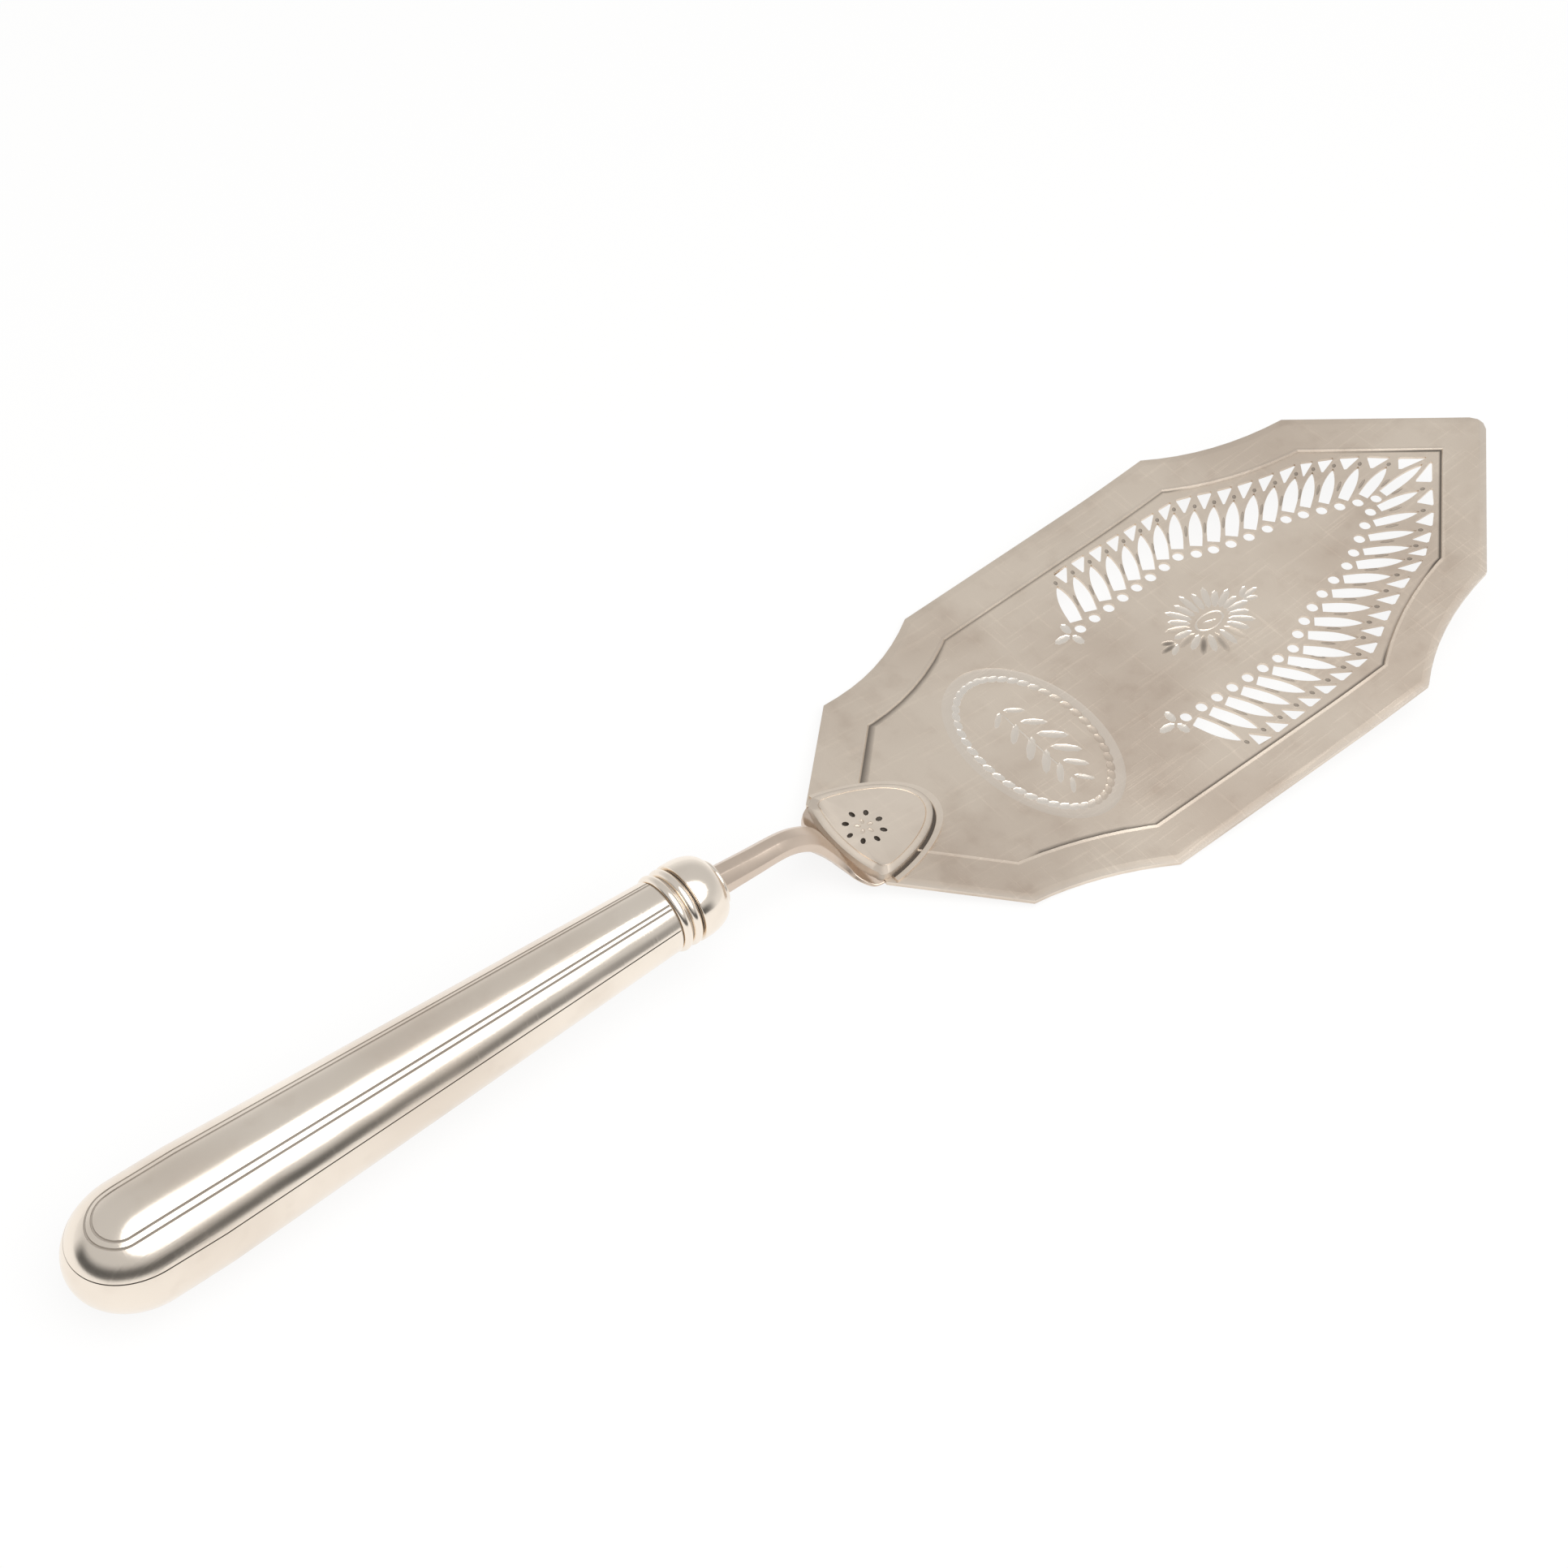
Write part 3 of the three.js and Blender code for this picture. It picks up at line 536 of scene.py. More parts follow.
def turned(profile, steps=128):
    """Spin a closed profile of (distance back, radius) points about the handle's axis."""
    bm = new_work()
    verts = [bm.verts.new((-back, 0, radius)) for back, radius in profile]
    edges = [bm.edges.new(pair) for pair in zip(verts, verts[1:] + verts[:1])]
    bmesh.ops.spin(
        bm, geom=verts + edges, cent=(0, 0, 0), axis=(1, 0, 0),
        angle=2 * math.pi, steps=steps, use_merge=True,
    )
    bmesh.ops.remove_doubles(bm, verts=bm.verts[:], dist=WELD)
    bmesh.ops.dissolve_degenerate(bm, edges=bm.edges[:], dist=WELD)
    bmesh.ops.delete(bm, geom=[edge for edge in bm.edges if edge.is_wire], context="EDGES")
    bmesh.ops.recalc_face_normals(bm, faces=bm.faces[:])
    return bm


def arc(centre, radii, start, end, steps):
    """Points of an elliptic arc in a profile, from one angle to another."""
    return [
        (centre[0] + radii[0] * math.cos(turn), centre[1] + radii[1] * math.sin(turn))
        for turn in spread(start, end, steps)
    ]


def sweep(bm, sections, sides):
    """Run an even section of some sides through a row of placing matrices, as a closed bar."""
    made = bmesh.ops.create_circle(
        bm, cap_ends=True, segments=sides, radius=1 / math.cos(math.pi / sides),
        matrix=Matrix.Rotation(math.pi / sides, 4, "Z"),
    )
    face = made["verts"][0].link_faces[0]
    bmesh.ops.transform(bm, matrix=sections[0], verts=face.verts[:])
    for last, section in zip(sections, sections[1:]):
        face = grow_face(bm, face)
        bmesh.ops.transform(bm, matrix=section @ last.inverted(), verts=face.verts[:])


def section_at(place, heading, width, depth):
    """Placing matrix of a section: width across, depth up and its normal along the heading."""
    ahead = heading.normalized()
    across = Vector((0, 0, 1)).cross(ahead).normalized()
    up = ahead.cross(across)
    turn = Matrix((across, up, ahead)).transposed().to_4x4()
    return Matrix.Translation(place) @ turn @ Matrix.Diagonal((width, depth, 1, 1))


# Facets of the cutting drops and of the cove's section
DROP_SIDES = 8
DROP_RINGS = 6
COVE_SIDES = 10


def gouge(bm, place, heading, size, depth, patina=-1, rim=1):
    """A long drop that cuts a facetted mark on flat work; its rim has a share of its floor's patina."""
    matrix = (
        Matrix.Translation((place[0], place[1], 0))
        @ Matrix.Rotation(heading, 4, "Z")
        @ Matrix.Diagonal((size[0] / 2, size[1] / 2, depth, 1))
    )
    made = bmesh.ops.create_uvsphere(
        bm, u_segments=DROP_SIDES, v_segments=DROP_RINGS, radius=1, matrix=matrix
    )
    for vert in made["verts"]:
        deep = max(-vert.co.z / depth, 0)
        set_shade_and_patina(bm, [vert], patina * blend(rim, 1, deep))


def ring_gouge(bm, place, radii, width, depth, patina, steps=96):
    """An oval ring that cuts a cove round a place on flat work."""
    section = (
        Matrix.Translation((radii[0], 0, 0))
        @ Matrix.Rotation(math.pi / 2, 4, "X")
        @ Matrix.Diagonal((width / 2, depth, 1, 1))
    )
    made = bmesh.ops.create_circle(bm, segments=COVE_SIDES, radius=1, matrix=section)
    edges = list({edge for vert in made["verts"] for edge in vert.link_edges})
    before = set(bm.verts) - set(made["verts"])
    bmesh.ops.spin(
        bm, geom=made["verts"] + edges, cent=(0, 0, 0), axis=(0, 0, 1),
        angle=2 * math.pi, steps=steps, use_merge=True,
    )
    ring = [vert for vert in bm.verts if vert not in before]
    bmesh.ops.scale(bm, vec=(1, radii[1] / radii[0], 1), verts=ring)
    bmesh.ops.translate(bm, vec=(place[0], place[1], 0), verts=ring)
    set_shade_and_patina(bm, ring, patina)


def new_work():
    """An empty bmesh whose face corners carry a patina: 1 is full grime or painted shade, -1 a bright cut
    or painted highlight.
    """
    bm = bmesh.new()
    bm.loops.layers.float.new(PATINA_AND_SHADE)
    return bm


def set_shade_and_patina(bm, verts, amount):
    """Give the face corners at some vertices a patina, painted shade or painted highlight."""
    layer = bm.loops.layers.float[PATINA_AND_SHADE]
    for vert in verts:
        for loop in vert.link_loops:
            loop[layer] = amount


def ring_round(face):
    """The vertices one step outside a face that was inset."""
    inner = set(face.verts)
    ends = {vert for corner in inner for edge in corner.link_edges for vert in edge.verts}
    return ends - inner


def mesh_from(name, bm, place):
    """Turn a bmesh into a mesh in the part's frame."""
    bmesh.ops.transform(bm, matrix=place, verts=bm.verts)
    mesh = bpy.data.meshes.new(name)
    bm.to_mesh(mesh)
    bm.free()
    return mesh


def new_object(name, data):
    """A new object of the scene."""
    made = bpy.data.objects.new(name, data)
    bpy.context.scene.collection.objects.link(made)
    return made


def shade(mesh):
    """Shade a mesh smooth between its sharp edges."""
    mesh.shade_smooth()
    mesh.set_sharp_from_angle(angle=SHARP_ANGLE)


def add_piece(name, mesh, material, node):
    """Show a mesh as a piece that rides on the part in place of a node of its frame."""
    piece = new_object(name, mesh)
    mesh.materials.append(material)
    shade(mesh)
    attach(piece, "root")
    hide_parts(node)
    return piece


def carve(piece, cuts, place):
    """Cut a bmesh of closed forms out of a piece; the cuts keep their patina."""
    bmesh.ops.recalc_face_normals(cuts, faces=cuts.faces[:])
    tool = new_object("cuts", mesh_from("cuts", cuts, place))
    cutting = piece.modifiers.new("cuts", "BOOLEAN")
    cutting.operation = "DIFFERENCE"
    cutting.solver = "EXACT"
    cutting.use_self = True
    cutting.object = tool
    graph = bpy.context.evaluated_depsgraph_get()
    carved = bpy.data.meshes.new_from_object(piece.evaluated_get(graph))
    piece.modifiers.remove(cutting)
    plain = piece.data
    piece.data = carved
    carved.name = plain.name
    bpy.data.meshes.remove(plain)
    bpy.data.objects.remove(tool)
    shade(carved)


def flatten_sheet(mesh, blade, place):
    """Shade flat what lies along the bowed sheet, so that the cuts in it stay crisp."""
    back = place.inverted()
    turn = back.to_3x3()
    for face in mesh.polygons:
        along = (back @ face.center).x
        slope = (bow(blade, along + MM) - bow(blade, along - MM)) / (2 * MM)
        facing = (turn @ face.normal).dot(Vector((-slope, 0, 1)).normalized())
        if abs(facing) > FLAT_SHARE:
            face.use_smooth = False


# Shader expressions

class Signal:
    """A shader socket that joins in Python arithmetic: each operation adds a Math node."""

    def __init__(self, nodes, socket):
        self.nodes = nodes
        self.socket = socket

    def math(self, operation, first, second):
        return self.nodes.add("ShaderNodeMath", {"operation": operation}, {0: first, 1: second})

    def __add__(self, other):
        return self.math("ADD", self, other)

    def __radd__(self, other):
        return self.math("ADD", other, self)

    def __sub__(self, other):
        return self.math("SUBTRACT", self, other)

    def __rsub__(self, other):
        return self.math("SUBTRACT", other, self)

    def __mul__(self, other):
        return self.math("MULTIPLY", self, other)

    def __rmul__(self, other):
        return self.math("MULTIPLY", other, self)

    def between(self, low, high):
        """A smooth step from 0 at low to 1 at high."""
        return self.nodes.add(
            "ShaderNodeMapRange",
            {"interpolation_type": "SMOOTHSTEP"},
            {"Value": self, "From Min": low, "From Max": high},
        )


class Nodes:
    """Adds nodes to a tree: settings first, then the values or links of the sockets."""

    def __init__(self, tree):
        self.tree = tree
        tree.nodes.clear()

    def add(self, kind, settings=None, sockets=None, output=0):
        node = self.tree.nodes.new(kind)
        for name, value in (settings or {}).items():
            setattr(node, name, value)
        for name, value in (sockets or {}).items():
            if isinstance(value, Signal):
                self.tree.links.new(value.socket, node.inputs[name])
            else:
                node.inputs[name].default_value = value
        if not node.outputs:
            return None
        return Signal(self, node.outputs[output])

    def noise(self, place, scale, detail=4.0, stretch=(1, 1, 1), turn=0.0):
        """Noise from 0 to 1 over a surface, stretched and turned."""
        mapped = self.add(
            "ShaderNodeMapping", {}, {"Vector": place, "Scale": stretch, "Rotation": (0, 0, turn)}
        )
        return self.add("ShaderNodeTexNoise", {}, {"Vector": mapped, "Scale": scale, "Detail": detail})

    def mix(self, factor, first, second):
        """A colour between two colours."""
        return self.add("ShaderNodeMix", {"data_type": "RGBA"}, {0: factor, 6: first, 7: second}, output=2)

    def bump(self, strength, distance, height, normal=None):
        """A normal that follows a height, over another normal where there is one."""
        sockets = {"Strength": strength, "Distance": distance, "Height": height}
        if normal:
            sockets["Normal"] = normal
        return self.add("ShaderNodeBump", {}, sockets)

    def principled(self, sockets):
        """A surface that ends the tree."""
        self.end(self.add("ShaderNodeBsdfPrincipled", {}, sockets))

    def end(self, shader, kind="Material"):
        """Lead a shader to the tree's output."""
        self.add("ShaderNodeOutput" + kind, {}, {"Surface": shader})


def opaque(tint):
    """A colour with full alpha."""
    return (*tint, 1.0)


def new_material(name):
    """An empty node material and its nodes."""
    made = bpy.data.materials.new(name)
    made.use_nodes = True
    return made, Nodes(made.node_tree)


# Each silver: its settings of colour, tarnish and roughness, then its clouds, wave and scratches
Silver = namedtuple("Silver", "tint tarnish roughness cloud wave scratch")
SILVERS = {
    "satin_blade": Silver("blade", "blade_tarnish", "blade_roughness", 0.8, 0.04 * MM, 1.0),
    "satin_shield": Silver("shield", "blade_tarnish", "shield_roughness", 0.35, 0.02 * MM, 0.8),
    "worn_shank": Silver("shank", "blade_tarnish", "shield_roughness", 0.5, 0.05 * MM, 0.8),
    "polished_handle": Silver("handle", "handle_tarnish", "handle_roughness", 0.7, 0.26 * MM, 0.35),
}

# Noise of the wear: its scale and detail, how it is stretched and turned, and the part of it that shows
CLOUD_NOISE = (27, 3)
CLOUD_RANGE = (0.38, 0.72)
MOTTLE_NOISE = (210, 5)
MOTTLE_RANGE = (0.45, 0.8)
MOTTLE_SHARE = 0.4
SWELL_NOISE = (70, 1)
HAIR_NOISE = (60, 3)
HAIRS_ALONG = ((1, 26, 1), 0.35)
ALONG_RANGE = (0.56, 0.68)
HAIRS_ACROSS = ((24, 1, 1), -0.5)
ACROSS_RANGE = (0.58, 0.7)

# Roughness that clouds, hair scratches, grime and painted shade add, and the bump of the scratches
CLOUD_DULL = 0.12
HAIR_DULL = 0.05
SHADE_AND_GRIME_DULL = 0.25
HAIR_DEPTH = 0.03 * MM
HAIR_STRENGTH = 0.25


def silver(name, look):
    """Worn silver: clouds of tarnish, hair scratches, a slight wave, bright cuts and grime, with painted
    shade and painted highlight.
    """
    kind = SILVERS[name]
    tint, tarnish = opaque(getattr(look, kind.tint)), opaque(getattr(look, kind.tarnish))
    made, nodes = new_material(name)
    place = nodes.add("ShaderNodeTexCoord", output="Object")
    mottle = nodes.noise(place, *MOTTLE_NOISE)
    clouds = nodes.noise(place, *CLOUD_NOISE).between(*CLOUD_RANGE) * kind.cloud
    clouds += mottle.between(*MOTTLE_RANGE) * (kind.cloud * MOTTLE_SHARE)
    hairs = nodes.noise(place, *HAIR_NOISE, *HAIRS_ALONG).between(*ALONG_RANGE)
    hairs += nodes.noise(place, *HAIR_NOISE, *HAIRS_ACROSS).between(*ACROSS_RANGE)
    patina = nodes.add("ShaderNodeAttribute", {"attribute_name": PATINA_AND_SHADE}, output="Fac")
    # Above zero the patina paints grime and shade dark; below zero, bright cuts and highlights
    grime_and_shade = patina.between(0, 1)
    bright = (0 - patina).between(0, 1)
    cut = nodes.mix(bright, nodes.mix(clouds, tint, tarnish), opaque(look.bright))
    painted_dark = nodes.mix(grime_and_shade, cut, opaque(look.grime))
    rough = getattr(look, kind.roughness) + clouds * CLOUD_DULL + hairs * (kind.scratch * HAIR_DULL)
    dull = rough * (1 - bright * look.cut_polish) + grime_and_shade * SHADE_AND_GRIME_DULL
    swell = nodes.noise(place, *SWELL_NOISE)
    waved = nodes.bump(1.0, kind.wave, swell)
    normal = nodes.bump(HAIR_STRENGTH, HAIR_DEPTH, hairs * kind.scratch + mottle * MOTTLE_SHARE, waved)
    nodes.principled({"Base Color": painted_dark, "Metallic": 1 - grime_and_shade, "Roughness": dull, "Normal": normal})
    return made


# Pitch: scale and detail of its grain, its light grains, its roughness and the bump of the grain
GRAIN_NOISE = (900, 6)
GRAIN_LIGHT = 1.8
GRAIN_DULL = 0.3
PITCH_ROUGHNESS = 0.5
GRAIN_STRENGTH = 0.4
GRAIN_DEPTH = 0.2 * MM


def pitch_finish(name, look):
    """Hard, dull pitch with a grainy break."""
    made, nodes = new_material(name)
    grain = nodes.noise(nodes.add("ShaderNodeTexCoord", output="Object"), *GRAIN_NOISE)
    light = opaque([part * GRAIN_LIGHT for part in look.pitch])
    nodes.principled({
        "Base Color": nodes.mix(grain, opaque(look.pitch), light),
        "Roughness": grain * GRAIN_DULL + PITCH_ROUGHNESS,
        "Normal": nodes.bump(GRAIN_STRENGTH, GRAIN_DEPTH, grain),
    })
    return made


def seen_rays(nodes):
    """1 for rays that show the background itself, straight or in metal and glass."""
    kinds = ("Is Camera Ray", "Is Glossy Ray", "Is Transmission Ray")
    camera, glossy, through = [nodes.add("ShaderNodeLightPath", output=kind) for kind in kinds]
    return camera + glossy + through


def floor_finish(stage):
    """Pale floor that takes the object's shadow and is otherwise seen as white."""
    made, nodes = new_material("pale_floor")
    paper = nodes.add("ShaderNodeBsdfDiffuse", {}, {"Color": opaque(stage.floor_colour)})
    glow = nodes.add("ShaderNodeEmission", {}, {"Color": (1, 1, 1, 1), "Strength": 1.0})
    share = seen_rays(nodes).between(0, 1) * stage.floor_glow
    nodes.end(nodes.add("ShaderNodeMixShader", {}, {0: share, 1: paper, 2: glow}))
    return made


# Blade

def blade_half(blade):
    """The blade's edge on one side, from the middle of the heel to the tip."""
    half = [Vector((blade.heel[0], 0)), Vector(blade.heel)]
    half += hollow_curve(blade.shoulder, blade.shoulder_pull, blade.side_start)
    half += hollow_curve(blade.side_end, blade.point_pull, blade.point_start)
    half.append(Vector((blade.tip, 0)))
    return half


# Side cuts of the tip: their turn, and how far back and aside they lie as shares of the tip cut
TIP_TURN = math.radians(29.6)
TIP_BACK = 1.25
TIP_ASIDE = 0.88


def round_tip(bm, blade):
    """Trim the sharp point with three cuts."""
    cut = blade.tip_cut
    for side in (0, 1, -1):
        back = TIP_BACK * cut if side else cut
        facing = ray(side * TIP_TURN).to_3d()
        cut_plane(bm, (blade.tip - back, side * TIP_ASIDE * cut, 0), facing, clear_outer=True)


Cell = namedtuple("Cell", "eye lean width end length")


def band_cells(band):
    """The band's cells on one side, heel to tip, with the one on the axis last."""
    places = []
    side_start, side_end = Vector(band.rail_start), Vector(band.rail_side_end)
    for share in spread(0, 1, band.side_cells - 1):
        lean = blend(band.lean_start, band.lean_side_end, share)
        width = blend(band.first_width, band.lancet_width, share)
        places.append((side_start.lerp(side_end, share), lean, width, band.spandrel_end))
    rail_curve = (band.rail_curve_start, band.rail_curve_pull, band.rail_curve_end)
    curve = hollow_curve(*rail_curve, band.curve_cells - 1)
    for step, eye in enumerate(curve):
        share = (step + 1) / band.curve_cells
        lean = blend(band.lean_side_end, band.lean_curve_end, share)
        places.append((eye, lean, band.lancet_width, band.curve_end))
    point_start, tip = Vector(band.rail_point_start), Vector((band.rail_tip, 0))
    for share in spread(0, 1, band.point_cells):
        lean = band.lean_curve_end * math.cos(math.pi / 2 * share)
        places.append((point_start.lerp(tip, share), lean, band.point_width, band.spandrel_end))
    cells = [Cell(*place, band.lancet_length) for place in places]
    cells[-1] = cells[-1]._replace(lean=0, length=band.axis_length, end=band.axis_end)
    return cells


def bars_between(cells):
    """The bar between each two neighbouring cells, with its middle as its eye."""
    return [
        cell._replace(eye=cell.eye.lerp(after.eye, 0.5), lean=(cell.lean + after.lean) / 2)
        for cell, after in zip(cells, cells[1:])
    ]


def on_cell(cell, out, aside):
    """A point at a distance out along a cell's lean and aside from it."""
    along = ray(cell.lean)
    return cell.eye + along * out + Vector((-along.y, along.x)) * aside


def eye_outline(band, cell, steps=16):
    """A round eye."""
    radius = band.eye_diameter / 2
    turns = spread(0, 2 * math.pi, steps)[:-1]
    return [on_cell(cell, radius * math.cos(turn), radius * math.sin(turn)) for turn in turns]


# Power that fills out the flanks of a lancet
LANCET_FULLNESS = 0.85


def lancet_outline(band, cell, steps=10):
    """A lancet: blunt at its eye, widest near it and pointed at its far end."""
    flank = []
    for share in spread(0, 1, steps):
        if share < band.lancet_belly:
            swell = math.sin(math.pi / 2 * share / band.lancet_belly)
            width = blend(band.lancet_blunt, 1, swell)
        else:
            past = (share - band.lancet_belly) / (1 - band.lancet_belly)
            width = (1 - past * past) ** LANCET_FULLNESS
        flank.append((band.lancet_start + share * cell.length, width * cell.width / 2))
    outline = [(out, -aside) for out, aside in flank] + flank[-2::-1]
    return [on_cell(cell, out, aside) for out, aside in outline]


def spandrel_outline(band, cell, after, bar):
    """A spandrel: its apex between two lancets, its base on the outer rail and its corners cut."""
    outer, outer_after = on_cell(cell, cell.end, 0), on_cell(after, after.end, 0)
    margin = (1 - band.spandrel_base) / 2
    points = [
        on_cell(bar, band.spandrel_start, 0),
        outer_after.lerp(outer, margin),
        outer.lerp(outer_after, margin),
    ]
    cut = []
    for before, point, following in zip(points[-1:] + points, points, points[1:] + points[:1]):
        cut += [point.lerp(before, band.spandrel_ease), point.lerp(following, band.spandrel_ease)]
    return cut


def cut_openings(bm, field, band):
    """Open the band in the field: every loop of edges inside it becomes a hole."""
    level = field.verts[0].co.z
    edges = list(field.edges)
    bmesh.ops.delete(bm, geom=[field], context="FACES_ONLY")
    cells = band_cells(band)
    bars = bars_between(cells)
    outlines = [outline(band, cell) for outline in (eye_outline, lancet_outline) for cell in cells[:-1]]
    outlines += [spandrel_outline(band, *group) for group in zip(cells, cells[1:], bars)]
    mirrored = [[Vector((point.x, -point.y)) for point in outline] for outline in outlines]
    on_axis = [eye_outline(band, cells[-1]), lancet_outline(band, cells[-1])]
    for outline in outlines + mirrored + on_axis:
        verts = [bm.verts.new((point.x, point.y, level)) for point in outline]
        edges.extend(bm.edges.new(pair) for pair in zip(verts, verts[1:] + verts[:1]))
    bmesh.ops.triangle_fill(bm, use_beauty=True, use_dissolve=False, edges=edges, normal=(0, 0, 1))


def widen_step_shade(blade, verts):
    """Widen the painted shade line at the foot of the step towards the far corner of the heel."""
    corner = min(vert.co.x for vert in verts)
    far = blade.side_start[0]
    for vert in verts:
        if vert.co.y > WELD:
            vert.co.x += blade.heel_shade_widening * max(far - vert.co.x, 0) / (far - corner)


def step_shade(blade, place):
    """Painted shade at a point of the step's foot, and how much of it reaches across the line."""
    flank_end = blade.shoulder[0] + blade.border_width
    point_start = blade.point_start[0] - blade.border_width
    run_ends = (flank_end, blade.side_start[0], blade.side_end[0], point_start)
    run = sum(place.x > end for end in run_ends)
    grime = blade.step_shade_far[run] if place.y > 0 else blade.step_shade_near[run]
    return grime, grime * blade.step_shade_spread[run]


def blade_bmesh(settings):
    """The bowed sheet with its bevelled edge, border bead, sunk field and openings."""
    blade = settings.blade
    bm = new_work()
    field = outline_face(bm, blade_half(blade), blade.thickness - blade.bevel_drop)
    step_in(bm, field, blade.bevel_width, blade.bevel_drop)
    step_in(bm, field, blade.border_width)
    step_in(bm, field, blade.bead_width, blade.bead_rise)
    step_in(bm, field, blade.step_width, -blade.bead_rise - blade.field_drop)
    crest = ring_round(field)
    step_in(bm, field, blade.step_shade_width)
    foot = ring_round(field)
    step_in(bm, field, blade.step_shade_fade)
    step_shade_fade_ring = ring_round(field)
    widen_step_shade(blade, list(step_shade_fade_ring) + field.verts[:])
    cut_openings(bm, field, settings.band)
    round_tip(bm, blade)
    floor = field_level(blade)
    rim = [vert for vert in bm.verts if vert.is_boundary and vert.co.z > floor + WELD]
    add_underside(bm, floor, blade.field_hollow)
    # Paint shade along the foot of the step and its fade, more on one side than the other
    for part, ring in enumerate((foot, step_shade_fade_ring)):
        for vert in ring:
            set_shade_and_patina(bm, [vert], step_shade(blade, vert.co)[part])
    # Paint shade along the far outer edge and a highlight along the near one
    for vert in rim:
        set_shade_and_patina(bm, [vert], blade.far_edge_shade if vert.co.y > 0 else blade.near_edge_highlight)
    set_shade_and_patina(bm, crest, -blade.bead_polish)
    heel_start = blade.belly_rear - blade.heel_bend
    nose_end = blade.belly_front + blade.nose_bend
    slice_across(bm, spread(heel_start, blade.belly_rear, steps=14))
    slice_across(bm, spread(blade.belly_front, nose_end, steps=6))
    lift_on_bow(bm, blade, 0)
    return bm


def ring_shade_patina(turn, darkest, grime, polish):
    """Patina of a cut in a ring: painted shade towards the darkest turn and polished on the other side."""
    return (polish + grime) * max(math.cos(turn - darkest), 0) - polish


def soft_cut(cuts, engraving, place, heading, size, patina):
    """A soft cut, polished all over or with painted shade that thickens towards its floor."""
    gouge(cuts, place, heading, size, engraving.soft_depth, patina, rim=0 if patina > 0 else 1)


def oval_cuts(cuts, engraving):
    """The medallion's twisted line."""
    centre, radii = Vector(engraving.oval_centre), Vector(engraving.oval_radii)
    cut = (engraving.oval_cut_length, engraving.oval_cut_width)
    for step in range(engraving.oval_cuts):
        turn = 2 * math.pi * step / engraving.oval_cuts
        facing = ray(turn)
        heading = math.atan2(radii.y * facing.x, -radii.x * facing.y) + engraving.oval_twist
        # Painted shade in the cuts towards one side, bright cuts elsewhere
        patina = ring_shade_patina(turn, engraving.oval_shade_turn, engraving.oval_shade, 1)
        gouge(cuts, centre + radii * facing, heading, cut, engraving.depth, patina)


# Shares and leans that shape the leaf spray
SPRAY_START = 0.6
SPRAY_TAPER = 0.45
SPRAY_LEAN = 0.95
SPRAY_CLOSING = 0.3
SPRAY_BEND = 0.12
SPRAY_STAND = 0.62
SPRAY_LEAF_WIDTH = 0.3
SPRAY_STEM = 1.7
SPRAY_STEM_WIDTH = 0.5 * MM


def spray_cuts(cuts, engraving):
    """The plain leaf spray in the medallion."""
    centre, reach, polish = Vector(engraving.oval_centre), engraving.spray_reach, engraving.soft_polish
    for side in (1, -1):
        for step in range(engraving.spray_leaves):
            share = (step + SPRAY_START) / engraving.spray_leaves
            size = engraving.spray_leaf * (1 - SPRAY_TAPER * abs(2 * share - 1))
            heading = side * (SPRAY_LEAN - SPRAY_CLOSING * share) - math.pi / 2
            bend = SPRAY_BEND * reach * math.sin(math.pi * share)
            root = centre + Vector((bend, reach * (1 - 2 * share)))
            place = root + ray(heading) * (SPRAY_STAND * size)
            soft_cut(cuts, engraving, place, heading, (size, SPRAY_LEAF_WIDTH * size), -polish)
    stem = (SPRAY_STEM * reach, SPRAY_STEM_WIDTH)
    soft_cut(cuts, engraving, centre, math.pi / 2, stem, -polish)


# The rosette's shorter petals, the line and mark of its eye, and the leaves at its ends
ROSE_SHORT = 0.9
ROSE_EYE_LINE = 0.7 * MM
ROSE_EYE_STEPS = 32
ROSE_MARK_TURN = -0.35
ROSE_MARK_SHARE = 0.9
ROSE_MARK_WIDTH = 0.6 * MM
ROSE_LEAF_LEAN = 0.5
ROSE_SIDE_LEAF = 0.75
ROSE_LEAF_SET = 1.2 * MM
ROSE_LEAF_GAP = 0.6 * MM
ROSE_LEAF_WIDTH = 1.3 * MM


